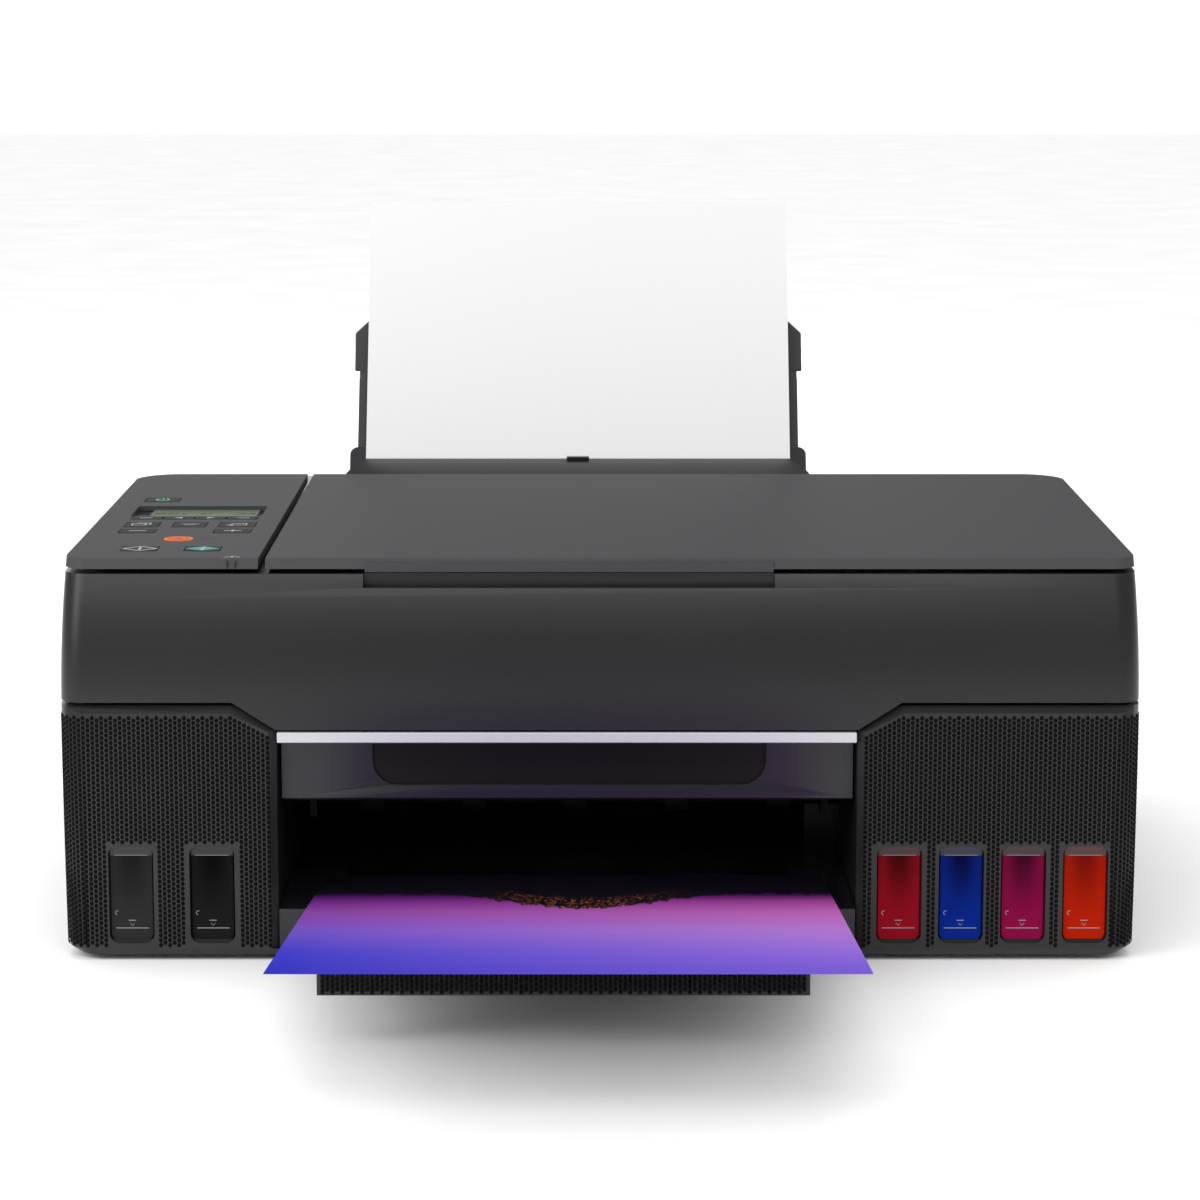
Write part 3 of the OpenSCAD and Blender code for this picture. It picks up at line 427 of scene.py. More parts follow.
def sunset_print(origin, slope, width, reach):
    """Printed photo paper: a violet evening sky over dark water with warm lights at the inner end; the dark
    inner end is also painted shade where the sheet runs in under the body.
    """
    material, tree, shader = new_material("sunset_print")
    place = add_node(tree, "ShaderNodeTexCoord")
    turn = add_node(tree, "ShaderNodeMapping", vector_type="TEXTURE", in_Location=origin,
                    in_Rotation=(-slope, 0.0, 0.0), in_Scale=(width, -reach, 1.0))
    axes = add_node(tree, "ShaderNodeSeparateXYZ")
    wire(tree, (place, "Object", turn, "Vector"), (turn, "Vector", axes, 0))

    def ramp(stops):
        node = add_node(tree, "ShaderNodeValToRGB")
        points = node.color_ramp.elements
        points[0].position, points[0].color = stops[0][0], opaque(stops[0][1])
        points[1].position, points[1].color = stops[-1][0], opaque(stops[-1][1])
        for position, rgb in stops[1:-1]:
            points.new(position).color = opaque(rgb)
        return node

    left = ramp([(0.24, (0.03, 0.004, 0.07)), (0.31, (0.13, 0.015, 0.20)), (0.43, (0.23, 0.05, 0.32)),
                 (0.62, (0.14, 0.07, 0.48)), (0.82, (0.035, 0.036, 0.48)), (1.0, (0.016, 0.020, 0.44))])
    right = ramp([(0.24, (0.05, 0.006, 0.08)), (0.31, (0.30, 0.04, 0.26)), (0.43, (0.45, 0.11, 0.40)),
                  (0.62, (0.38, 0.16, 0.55)), (0.82, (0.24, 0.12, 0.60)), (1.0, (0.15, 0.08, 0.56))])
    sky = add_node(tree, "ShaderNodeMix", data_type="RGBA")
    wire(tree, (axes, "Y", left, 0), (axes, "Y", right, 0), (axes, "X", sky, 0), (left, 0, sky, 6),
         (right, 0, sky, 7))

    # skyline: a ragged dark edge whose reach dips in the middle; the dark band beyond it is the print's dark
    # water together with painted shade where the sheet runs in under the body
    skyline = add_node(tree, "ShaderNodeTexNoise", noise_dimensions="1D", in_Scale=38.0, in_Detail=5.0,
                       in_Roughness=0.75)
    wire(tree, (axes, "X", skyline, "W"))
    hump = add_node(tree, "ShaderNodeMapRange", interpolation_type="SMOOTHSTEP", in_From_Min=0.0,
                    in_From_Max=0.30, in_To_Min=0.41, in_To_Max=0.25)
    distance = add_node(tree, "ShaderNodeMath", operation="SUBTRACT", in_1=0.52)
    away = add_node(tree, "ShaderNodeMath", operation="ABSOLUTE")
    edge = add_node(tree, "ShaderNodeMath", operation="MULTIPLY_ADD", in_1=0.09)
    wire(tree, (axes, "X", distance, 0), (distance, 0, away, 0), (away, 0, hump, "Value"),
         (skyline, "Fac", edge, 0), (hump, "Result", edge, 2))
    below = add_node(tree, "ShaderNodeMath", operation="SUBTRACT")
    step = add_node(tree, "ShaderNodeMapRange", interpolation_type="SMOOTHSTEP", in_From_Min=0.055,
                    in_From_Max=0.075)
    wire(tree, (edge, 0, below, 0), (axes, "Y", below, 1), (below, 0, step, "Value"))
    # the dark band's colour: the print's dark water and painted shade of the body over the sheet's inner end
    dark_print_and_shade = add_node(tree, "ShaderNodeMix", data_type="RGBA", in_7=(0.006, 0.004, 0.010, 1))
    wire(tree, (step, "Result", dark_print_and_shade, 0), (sky, 2, dark_print_and_shade, 6))

    # warm lights inside the dark band
    specks = add_node(tree, "ShaderNodeTexVoronoi", in_Scale=95.0)
    flat = add_node(tree, "ShaderNodeMapping", in_Scale=(0.9, 2.4, 1.0))
    wire(tree, (turn, "Vector", flat, "Vector"), (flat, "Vector", specks, "Vector"))
    lit = add_node(tree, "ShaderNodeMapRange", in_From_Min=0.30, in_From_Max=0.14)
    near = add_node(tree, "ShaderNodeMapRange", in_From_Min=0.22, in_From_Max=0.03)
    both = add_node(tree, "ShaderNodeMath", operation="MULTIPLY")
    seen = add_node(tree, "ShaderNodeMath", operation="MULTIPLY")
    shore = add_node(tree, "ShaderNodeMapRange", in_From_Min=0.19, in_From_Max=0.15)
    ashore = add_node(tree, "ShaderNodeMath", operation="MULTIPLY")
    glow = add_node(tree, "ShaderNodeMix", data_type="RGBA", in_7=(0.95, 0.26, 0.03, 1))
    wire(tree, (specks, "Distance", lit, "Value"), (away, 0, near, "Value"), (lit, "Result", both, 0),
         (near, "Result", both, 1), (both, 0, seen, 0), (step, "Result", seen, 1),
         (below, 0, shore, "Value"), (seen, 0, ashore, 0), (shore, "Result", ashore, 1),
         (ashore, 0, glow, 0), (dark_print_and_shade, 2, glow, 6))

    # the underside stays plain paper
    facing = add_node(tree, "ShaderNodeSeparateXYZ")
    top = add_node(tree, "ShaderNodeMath", operation="GREATER_THAN", in_1=-0.5)
    both_sides = add_node(tree, "ShaderNodeMix", data_type="RGBA", in_6=opaque(colours().paper))
    wire(tree, (place, "Normal", facing, 0), (facing, "Z", top, 0), (top, 0, both_sides, 0),
         (glow, 2, both_sides, 7), (both_sides, 2, shader, "Base Color"))
    shader.inputs["Roughness"].default_value = 0.42
    shader.inputs["Specular IOR Level"].default_value = 0.1
    return material


# ---------------------------------------------------------------- mesh helpers

def add_object(name, mesh, material):
    mesh.materials.clear()
    mesh.materials.append(material)
    piece = bpy.data.objects.new(name, mesh)
    bpy.context.scene.collection.objects.link(piece)
    return piece


def from_bmesh(name, bm, material, smooth_angle=30.0):
    """Object from a bmesh, smooth except at edges sharper than the angle."""
    mesh = bpy.data.meshes.new(name)
    bm.normal_update()
    bm.to_mesh(mesh)
    bm.free()
    mesh.shade_smooth()
    mesh.set_sharp_from_angle(angle=math.radians(smooth_angle))
    return add_object(name, mesh, material)


def soften(piece, width, segments=2, limit=28.0):
    """Rounds the sharp edges of a piece."""
    bevel = piece.modifiers.new("edges", "BEVEL")
    bevel.width = width
    bevel.segments = segments
    bevel.limit_method = "ANGLE"
    bevel.angle_limit = math.radians(limit)
    bevel.use_clamp_overlap = True
    bevel.harden_normals = True
    bevel.miter_outer = "MITER_ARC"
    return piece


def belongs(piece, body, slot):
    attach(piece, body)
    return piece


def refine(node, material, width, segments=2, limit=28.0):
    """Merged copy of a CAD node with rounded edges, which stands for the node."""
    bm = bmesh.new()
    bm.from_mesh(frame["nodes"][node].data)
    bmesh.ops.remove_doubles(bm, verts=bm.verts, dist=2e-6)
    bmesh.ops.dissolve_limit(bm, angle_limit=math.radians(0.4), verts=bm.verts, edges=bm.edges)
    piece = from_bmesh(node + "_finished", bm, material)
    if width > 0:
        soften(piece, width, segments, limit)
    belongs(piece, BODY_OF[node], SLOT_OF[node])
    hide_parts(node)
    return piece


def prism(bm, outline, placed, thickness):
    """Extrudes a closed outline by thickness along its own normal, placed by a matrix."""
    lower = [bm.verts.new(placed @ Vector((x, y, 0.0))) for x, y in outline]
    upper = [bm.verts.new(placed @ Vector((x, y, thickness))) for x, y in outline]
    count = len(outline)
    bm.faces.new(list(reversed(lower)))
    bm.faces.new(upper)
    for i in range(count):
        j = (i + 1) % count
        bm.faces.new((lower[i], lower[j], upper[j], upper[i]))


def ring_prism(bm, outer, inner, placed, thickness):
    """Extrudes the band between two outlines with the same number of points."""
    rows = []
    for outline, z in ((outer, 0.0), (outer, thickness), (inner, thickness), (inner, 0.0)):
        rows.append([bm.verts.new(placed @ Vector((x, y, z))) for x, y in outline])
    count = len(outer)
    for a, b in ((0, 1), (1, 2), (2, 3), (3, 0)):
        for i in range(count):
            j = (i + 1) % count
            bm.faces.new((rows[a][i], rows[a][j], rows[b][j], rows[b][i]))


def arc(cx, cy, r, start, end, count):
    """Points on an arc, angles in degrees, both ends included."""
    step = (end - start) / (count - 1)
    return [(cx + r * math.cos(math.radians(start + i * step)),
             cy + r * math.sin(math.radians(start + i * step))) for i in range(count)]


def rounded_outline(w, d, r, count=6):
    """Rectangle round its centre with round corners."""
    points = []
    for sx, sy, start in ((1, 1, 0), (-1, 1, 90), (-1, -1, 180), (1, -1, 270)):
        points += arc(sx * (w / 2 - r), sy * (d / 2 - r), r, start, start + 90, count)
    return points


def stroke(x0, y0, x1, y1, width):
    """Outline of a straight stroke."""
    along = Vector((x1 - x0, y1 - y0)).normalized()
    side = Vector((-along.y, along.x)) * width / 2
    return [(x0 - side.x, y0 - side.y), (x1 - side.x, y1 - side.y),
            (x1 + side.x, y1 + side.y), (x0 + side.x, y0 + side.y)]


# ---------------------------------------------------------------- geometry nodes

class Nodes:
    """A geometry node tree under construction."""

    def __init__(self, name, inputs):
        self.tree = bpy.data.node_groups.new(name, "GeometryNodeTree")
        face = self.tree.interface
        face.new_socket("Geometry", in_out="INPUT", socket_type="NodeSocketGeometry")
        face.new_socket("Geometry", in_out="OUTPUT", socket_type="NodeSocketGeometry")
        self.identifiers = {}
        for label, kind in inputs:
            socket = face.new_socket(label, in_out="INPUT", socket_type=kind)
            self.identifiers[label] = socket.identifier
        self.input = self.tree.nodes.new("NodeGroupInput")
        self.output = self.tree.nodes.new("NodeGroupOutput")

    def add(self, kind, **values):
        return add_node(self.tree, kind, **values)

    def finish(self, copies):
        """Ends the tree in Realize Instances and Set Material."""
        real = self.add("GeometryNodeRealizeInstances")
        paint_node = self.add("GeometryNodeSetMaterial")
        wire(self.tree, (copies, "Instances", real, 0), (real, 0, paint_node, "Geometry"),
             (self.input, "Material", paint_node, "Material"), (paint_node, 0, self.output, 0))

    def bake(self, name, carrier, values, material, body, slot):
        """Runs the tree on a carrier and keeps the plain mesh as a piece."""
        modifier = carrier.modifiers.new("cells", "NODES")
        modifier.node_group = self.tree
        for label, value in dict(values, Material=material).items():
            modifier[self.identifiers[label]] = value
        evaluated = carrier.evaluated_get(bpy.context.evaluated_depsgraph_get())
        mesh = bpy.data.meshes.new_from_object(evaluated)
        mesh.name = name
        bpy.data.objects.remove(carrier)
        mesh.materials.clear()
        piece = add_object(name, mesh, material)
        return belongs(piece, body, slot)


def cells_tree():
    """A low six-sided stud on every point of the carrier, turned by its 'turn' attribute."""
    n = Nodes("Embossed Cells", [("Width", "NodeSocketFloat"), ("Height", "NodeSocketFloat"),
                                 ("Rise", "NodeSocketFloat"), ("Material", "NodeSocketMaterial")])
    stud = n.add("GeometryNodeMeshCone", fill_type="NGON", in_Vertices=6, in_Radius_Top=0.33,
                 in_Radius_Bottom=0.5, in_Depth=1.0)
    size = n.add("ShaderNodeCombineXYZ")
    turn = n.add("GeometryNodeInputNamedAttribute", data_type="FLOAT", in_Name="turn")
    angles = n.add("ShaderNodeCombineXYZ", in_X=math.pi / 2)
    copies = n.add("GeometryNodeInstanceOnPoints")
    wire(n.tree, (n.input, "Width", size, "X"), (n.input, "Height", size, "Y"),
         (n.input, "Rise", size, "Z"), (turn, "Attribute", angles, "Z"),
         (n.input, "Geometry", copies, "Points"), (stud, "Mesh", copies, "Instance"),
         (angles, 0, copies, "Rotation"), (size, 0, copies, "Scale"))
    n.finish(copies)
    return n


def row_tree():
    """Copies of a box along a line, such as ribs or slots."""
    n = Nodes("Row of Bars", [("Count", "NodeSocketInt"), ("Step", "NodeSocketVector"),
                              ("Start", "NodeSocketVector"), ("Size", "NodeSocketVector"),
                              ("Turn", "NodeSocketVector"), ("Material", "NodeSocketMaterial")])
    line = n.add("GeometryNodeMeshLine")
    bar = n.add("GeometryNodeMeshCube")
    copies = n.add("GeometryNodeInstanceOnPoints")
    wire(n.tree, (n.input, "Count", line, "Count"), (n.input, "Start", line, "Start Location"),
         (n.input, "Step", line, "Offset"), (n.input, "Size", bar, "Size"),
         (line, "Mesh", copies, "Points"), (bar, "Mesh", copies, "Instance"),
         (n.input, "Turn", copies, "Rotation"))
    n.finish(copies)
    return n


TREES = {}


def tree(name):
    if name not in TREES:
        TREES[name] = {"cells": cells_tree, "row": row_tree}[name]()
    return TREES[name]


def carrier_of(name, points, turns):
    """Loose points with a 'turn' attribute, for a tree to put cells on."""
    mesh = bpy.data.meshes.new(name)
    mesh.from_pydata(points, [], [])
    attribute = mesh.attributes.new("turn", "FLOAT", "POINT")
    attribute.data.foreach_set("value", turns)
    carrier = bpy.data.objects.new(name, mesh)
    bpy.context.scene.collection.objects.link(carrier)
    return carrier


def bar_row(name, count, start, step, size, material, body, slot, turn=(0.0, 0.0, 0.0)):
    carrier = carrier_of(name + "_line", [(0.0, 0.0, 0.0)], [0.0])
    values = {"Count": count, "Start": start, "Step": step, "Size": size, "Turn": turn}
    return tree("row").bake(name, carrier, values, material, body, slot)


# ---------------------------------------------------------------- the body's form

FRONT_R = 10.0 * MM
BASE_TUCK = 0.7 * MM
CHAMFER = 3.0 * MM
WINDOW = (18.7 * MM, 41.6 * MM)
WINDOW_LOW = 7.4 * MM
FRONT_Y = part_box("left_tank_housing")[0][1]
REAR_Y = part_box("rear_housing")[1][1]
HALF_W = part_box("scanner_case")[1][0]
BAY_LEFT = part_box("left_tank_housing")[1][0]
BAY_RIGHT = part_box("right_tank_housing")[0][0]
COLUMN_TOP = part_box("left_tank_housing")[1][2]
SHOULDER = (18.0 * MM, COLUMN_TOP - 10.0 * MM)
INK_SINK = 0.00001
OVER_INK = 0.00005
NOTCH = (164.3 * MM, 30.0 * MM, 10.0 * MM)
NOTCH_AT = (-12.8 * MM, 86.8 * MM)
GRIP_SETBACK = 9.5 * MM
NOTCH_DEPTH = 1.15 * MM


def tank_centre(node):
    low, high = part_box(node)
    return (low[0] + high[0]) / 2


def in_window(x, z, margin):
    """True where a tank window, grown by a margin, lies."""
    for node in INKS:
        if abs(x - tank_centre(node)) < WINDOW[0] / 2 + margin:
            if WINDOW_LOW - margin < z < WINDOW_LOW + WINDOW[1] + margin:
                return True
    return False


def column_cells(side):
    """Points of the embossed face of a column, out from the bay round the corner."""
    s = sizes()
    edge = BAY_LEFT if side < 0 else BAY_RIGHT
    margin = s.weave_margin
    flat = HALF_W - FRONT_R - abs(edge)
    corner = FRONT_R * math.pi / 2
    points, turns = [], []
    ribs = int((flat + corner + 0.018) / s.cell_pitch)
    for i in range(ribs):
        along = CHAMFER + margin * 0.4 + i * s.cell_pitch
        low = 0.0065 + (s.cell_step / 2 if i % 2 else 0.0)
        for k in range(60):
            z = low + k * s.cell_step
            shoulder = min(1.0, max(0.0, (along - 0.002) / SHOULDER[0]))
            top = SHOULDER[1] - 0.004 + shoulder * (COLUMN_TOP - SHOULDER[1])
            if z > min(top, COLUMN_TOP - CHAMFER - 0.001):
                continue
            tuck = BASE_TUCK * max(0.0, (0.105 - z) / 0.105) ** 2
            if along < flat:
                x = edge + side * along
                if in_window(x, z, margin):
                    continue
                points.append((x, FRONT_Y, z))
                turns.append(0.0)
            elif along < flat + corner:
                angle = (along - flat) / FRONT_R
                reach = HALF_W - tuck
                points.append((side * (reach - FRONT_R + FRONT_R * math.sin(angle)),
                               FRONT_Y + FRONT_R * (1 - math.cos(angle)), z))
                turns.append(side * angle)
            else:
                points.append((side * (HALF_W - tuck), FRONT_Y + FRONT_R + along - flat - corner, z))
                turns.append(side * math.pi / 2)
    return points, turns


def weave(name, points, turns, body, slot):
    s = sizes()
    carrier = carrier_of(name + "_points", points, turns)
    values = {"Width": s.cell_pitch * 0.98, "Height": s.cell_step * 1.02, "Rise": s.cell_rise}
    return tree("cells").bake(name, carrier, values, weave_plastic(), body, slot)


# ---------------------------------------------------------------- operators

def placed(x, y, z, across=(1, 0, 0), up=(0, 1, 0)):
    """Matrix from a drawing plane to the frame: drawing x runs along across, drawing y along up."""
    a, u = Vector(across).normalized(), Vector(up).normalized()
    n = a.cross(u)
    return Matrix(((a.x, u.x, n.x, x), (a.y, u.y, n.y, y), (a.z, u.z, n.z, z), (0, 0, 0, 1)))


def on_top(node, lift=0.0):
    """Drawing plane on a node's upper face, round the middle of its box."""
    low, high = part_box(node)
    return placed((low[0] + high[0]) / 2, (low[1] + high[1]) / 2, high[2] + lift)


def in_mm(points):
    """Points drawn in millimetres, in the frame's metres."""
    return [(x * MM, y * MM) for x, y in points]


def front_plane(x, y, z):
    """Drawing plane that faces the front, with its drawing x to the right and y up."""
    return placed(x, y, z, (1, 0, 0), (0, 0, 1))


def wedge(bm, x0, x1, profile):
    """Extrudes a (y, z) profile from x0 to x1."""
    left = [bm.verts.new((x0, y, z)) for y, z in profile]
    right = [bm.verts.new((x1, y, z)) for y, z in profile]
    count = len(profile)
    bm.faces.new(left)
    bm.faces.new(list(reversed(right)))
    for i in range(count):
        j = (i + 1) % count
        bm.faces.new((left[j], left[i], right[i], right[j]))


def box_piece(bm, low, high):
    wedge(bm, low[0], high[0], [(low[1], low[2]), (low[1], high[2]), (high[1], high[2]), (high[1], low[2])])


def close(name, bm, material, body, slot, edge=0.0):
    """Finishes a piece drawn in a bmesh."""
    bmesh.ops.recalc_face_normals(bm, faces=bm.faces)
    piece = from_bmesh(name, bm, material)
    if edge > 0:
        soften(piece, edge)
    return belongs(piece, body, slot)


class PRINTER_OT_lower_body(bpy.types.Operator):
    """Builds the base, the tank columns with their embossed faces, and the rear housing."""
    bl_idname = "printer.lower_body"
    bl_label = "Lower body"

    def execute(self, context):
        s = sizes()
        refine("base_pan", black_plastic(), s.edge)
        for node in ("left_tank_housing", "right_tank_housing", "rear_housing"):
            refine(node, case_plastic(), s.edge)
        refine("rubber_feet", rubber(), s.edge)
        refine("tank_covers", lid_plastic(), s.small_edge)
        for side, name in ((-1, "left_column_weave"), (1, "right_column_weave")):
            points, turns = column_cells(side)
            weave(name, points, turns, "root", "charcoal_case")
        bar_row("rear_vents", 28, (-0.065, REAR_Y + 0.0001, 0.062), (s.slot_pitch, 0.0, 0.0),
                (0.0018, 0.0006, 0.026), black_plastic(), "root", "black_plastic")
        for side, name in ((-1, "left_side_vents"), (1, "right_side_vents")):
            bar_row(name, 14, (side * (HALF_W - 0.0011), 0.034, 0.040), (0.0, s.slot_pitch, 0.0),
                    (0.0006, 0.0018, 0.022), black_plastic(), "root", "black_plastic")
        return {"FINISHED"}


class PRINTER_OT_tanks(bpy.types.Operator):
    """Builds the six ink tanks with their framed windows and level marks."""
    bl_idname = "printer.tanks"
    bl_label = "Ink tanks"

    def execute(self, context):
        s = sizes()
        lens_y = FRONT_Y + 1.6 * MM
        top = WINDOW_LOW + WINDOW[1]
        half = WINDOW[0] / 2
        sills, lines = bmesh.new(), bmesh.new()
        for node in INKS:
            refine(node, ink_plastic(node), s.small_edge, limit=40.0)
            x = tank_centre(node)
            brow = bmesh.new()
            wedge(brow, x - half + 0.5 * MM, x + half - 0.5 * MM,
                  [(lens_y + 1 * MM, top), (FRONT_Y + 0.5 * MM, top), (lens_y - 0.12 * MM, top - 4.6 * MM),
                   (lens_y + 1 * MM, top - 4.6 * MM)])
            tint = INKS[node][0]
            shade = [0.03 + 0.10 * c for c in tint]
            close(node + "_brow", brow, plastic(node + "_brow_tint", shade, 0.4, wear=0.0), "root",
                  "charcoal_case", s.small_edge)
            wedge(sills, x - half - 0.1 * MM, x + half + 0.1 * MM,
                  [(lens_y + 1 * MM, WINDOW_LOW), (FRONT_Y + 0.15 * MM, WINDOW_LOW),
                   (lens_y - 0.05 * MM, WINDOW_LOW + 1.5 * MM), (lens_y + 1 * MM, WINDOW_LOW + 1.5 * MM)])
            at = front_plane(x, lens_y - 0.02 * MM, 0)
            for width, z, thick in ((14.0, top - 4.2 * MM, 0.42), (13.6, WINDOW_LOW + 6.1 * MM, 0.3),
                                    (3.0, WINDOW_LOW + 9.4 * MM, 0.3)):
                prism(lines, stroke(-width / 2 * MM, z, width / 2 * MM, z, thick * MM), at, s.mark_rise * 3)
            hook = arc(-half + 3.2 * MM, WINDOW_LOW + 12.6 * MM, 0.95 * MM, 60, 260, 9)
            hook += arc(-half + 3.2 * MM, WINDOW_LOW + 12.6 * MM, 0.7 * MM, 260, 60, 9)
            prism(lines, hook, at, s.mark_rise)
            tick = WINDOW_LOW + 7.1 * MM
            for end in (-0.9 * MM, 0.9 * MM):
                prism(lines, stroke(end, tick + 1.1 * MM, 0, tick, 0.16 * MM), at, s.mark_rise)
        sill_plastic = plastic("sill_plastic", (0.012, 0.013, 0.013), 0.5, gloss=0.15)
        close("window_sills", sills, sill_plastic, "root", "charcoal_case", s.small_edge)
        lines_paint = plastic("level_marks", (0.26, 0.26, 0.27), 0.45, wear=0.0, dust=0.0)
        close("level_lines", lines, lines_paint, "root", "silver_paint")
        refine("tank_caps", rubber(), s.edge)
        return {"FINISHED"}


class PRINTER_OT_scanner(bpy.types.Operator):
    """Builds the scanner unit: its case, tub, glass and silver trim."""
    bl_idname = "printer.scanner"
    bl_label = "Scanner unit"

    def execute(self, context):
        s = sizes()
        refine("scanner_case", case_plastic(), s.edge, segments=3, limit=25.0)
        refine("scanner_tub", black_plastic(), s.edge)
        self.grip_notch()
        refine("silver_trim", silver_paint(), s.small_edge * 2)
        refine("platen_glass", clear_glass(), s.small_edge)
        refine("scan_head", black_plastic(), s.small_edge)
        low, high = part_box("platen_glass")
        frame_bm = bmesh.new()
        w, d = high[0] - low[0], high[1] - low[1]
        ring_prism(frame_bm, rounded_outline(w + 0.006, d + 0.006, 0.003),
                   rounded_outline(w - 0.010, d - 0.006, 0.001), on_top("platen_glass"), 0.0001)
        close("platen_frame", frame_bm, lid_plastic(), "scanner", "charcoal_case")
        bar_row("platen_scale", 43, (low[0] + 0.006, high[1] + 0.0016, high[2] + 0.00012), (0.007, 0.0, 0.0),
                (0.0003, 0.0018, 0.00006), mark_ink(), "scanner", "silver_paint")
        return {"FINISHED"}

    def grip_notch(self):
        """Finger notch under the trim bar, with a fine rim; a dark sheet at its floor is painted shadow in
        the recess.
        """
        width, height, radius = NOTCH
        x, z = NOTCH_AT
        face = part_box("scanner_tub")[0][1] + GRIP_SETBACK
        plate, rim = bmesh.new(), bmesh.new()
        # painted shadow: a thin dark sheet on the notch floor stands for the shade inside the recess
        floor = front_plane(x, face + NOTCH_DEPTH, z)
        prism(plate, rounded_outline(width - 0.0004, height, radius), floor, 0.0001)
        close("notch_shadow_plate", plate, dark_ink(), "scanner", "charcoal_case")
        outer = rounded_outline(width + 0.0007, height + 0.0007, radius)
        ring_prism(rim, outer, rounded_outline(width, height, radius), front_plane(x, face, z), 0.00012)
        close("notch_rim", rim, case_plastic(), "scanner", "charcoal_case")


class PRINTER_OT_lid(bpy.types.Operator):
    """Builds the lid with its pad and hinges."""
    bl_idname = "printer.lid"
    bl_label = "Lid"

    def execute(self, context):
        s = sizes()
        refine("lid_cover", lid_plastic(), s.edge, segments=3, limit=25.0)
        refine("lid_pad", foam_white(), s.edge)
        refine("lid_hinges", black_plastic(), s.small_edge)
        return {"FINISHED"}


class PRINTER_OT_panel(bpy.types.Operator):
    """Builds the control panel with its display, keys and printed symbols."""
    bl_idname = "printer.panel"
    bl_label = "Control panel"

    def symbols(self):
        """Outlines of each key's printed symbol, in millimetres round the key's centre."""
        def ring(r, w, start=0.0, end=360.0):
            return arc(0, 0, r, start, end, 28) + arc(0, 0, r - w, end, start, 28)

        def line(*points, w=0.45):
            return [stroke(*a, *b, w) for a, b in zip(points, points[1:])]

        diamond = ((-7.2, 0), (0, 5.6), (7.2, 0), (0, -5.6), (-7.2, 0))
        small = ((-4.2, -0.2), (0, 3.4), (4.2, 0.2), (0, -3.4))
        return {
            "power_key": ([ring(3.2, 0.7, 115, 425)] + line((0, 0.8), (0, 4.2), w=0.7), green_ink),
            "soft_key_1": (line((-3.0, 0.9), (1.6, 0.9)) + line((-3.0, -0.9), (3.0, -0.9)), mark_ink),
            "soft_key_2": ([[(-2.0, 0.0), (1.6, -1.6), (1.6, 1.6)]], mark_ink),
            "soft_key_3": ([[(2.0, 0.0), (-1.6, 1.6), (-1.6, -1.6)]], mark_ink),
            "soft_key_4": (line((-3.0, 0.9), (3.0, 0.9)) + line((-1.4, -0.9), (3.0, -0.9)), mark_ink),
            "home_key": (line((-4.4, -2.4), (1.6, -2.4), (1.6, 2.4), (-4.4, 2.4), (-4.4, -2.4), w=0.7)
                         + line((3.4, -1.2), (3.4, 4.2), (-2.6, 4.2), w=0.7), mark_ink),
            "direction_pad": (line((-4.0, 1.2), (4.0, 1.2), w=0.6)
                              + line((-2.4, -1.2), (2.4, -1.2), w=0.6), mark_ink),
            "back_key": (line((3.8, 2.6), (-3.2, 2.6), w=0.7)
                         + line((3.8, 2.6), (3.8, -2.0), (-2.0, -2.0), w=0.7)
                         + [[(-4.8, -2.0), (-1.8, -3.8), (-1.8, -0.2)]], mark_ink),
            "minus_key": (line((-3.8, 0), (3.8, 0), w=1.0), mark_ink),
            "plus_key": (line((-3.8, 0), (3.8, 0), w=1.0) + line((0, -2.6), (0, 2.6), w=1.0), mark_ink),
            "stop_key": ([ring(4.6, 0.7), [(0.0, 2.4), (-2.4, -1.8), (2.4, -1.8)]],
                         lambda: plastic("stop_mark", (0.16, 0.02, 0.003), 0.5, wear=0.0, dust=0.0)),
            "mono_key": (line(*diamond, w=0.95) + line(small[1], small[3], w=1.1), mark_ink),
            "colour_key": ([[diamond[0], diamond[3], diamond[2], diamond[1]]], teal_ink),
        }

    def execute(self, context):
        s = sizes()
        refine("control_panel", lid_plastic(), s.edge, segments=3, limit=25.0)
        refine("display", display_glass(), s.small_edge)
        for key, (outlines, ink) in self.symbols().items():
            refine(key, stop_plastic() if key == "stop_key" else key_plastic(), s.small_edge)
            bm = bmesh.new()
            for outline in outlines:
                prism(bm, in_mm(outline), on_top(key, -INK_SINK), s.mark_rise)
            close(key + "_symbol", bm, ink(), BODY_OF[key], SLOT_OF["display"])
        self.start_bar("colour_key", 1.1)
        self.screen_marks()
        self.front_marker()
        return {"FINISHED"}

    def start_bar(self, key, width):
        """Slanted bar over the diamond of the start key."""
        bm = bmesh.new()
        prism(bm, in_mm(stroke(0.4, 3.4, -0.4, -3.4, width)), on_top(key, OVER_INK), sizes().mark_rise)
        close(key + "_bar", bm, mark_ink(), BODY_OF[key], SLOT_OF["display"])

    def screen_marks(self):
        """Dark frame round the display and its segments."""
        low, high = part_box("display")
        bm = bmesh.new()
        widths = (2.6, 1.8, 2.2, 1.4, 2.0, 0.0, 0.0, 1.6, 1.6)
        marks = [(low[0] + (1.8 + i * 3.0) * MM, width * MM) for i, width in enumerate(widths) if width]
        marks += [(high[0] - (4.2 + i * 4.4) * MM, 3.2 * MM) for i in range(2)]
        y0, y1 = low[1] + 14 * MM, low[1] + 17.5 * MM
        for x, width in marks:
            box_piece(bm, (x, y0, high[2]), (x + width, y1, high[2] + OVER_INK))
        close("display_segments", bm, dark_ink(), "scanner", SLOT_OF["display"])
        bezel = bmesh.new()
        cx, cy = (low[0] + high[0]) / 2, (low[1] + high[1]) / 2
        floor = low[2] + 0.0001
        outer = rounded_outline(58.2 * MM, 31.2 * MM, 1.4 * MM)
        ring_prism(bezel, outer, rounded_outline(high[0] - low[0], high[1] - low[1], 0.3 * MM),
                   placed(cx - 2.3 * MM, cy + 1.2 * MM, floor), 0.0002)
        close("display_bezel", bezel, dark_ink(), "scanner", SLOT_OF["display"])

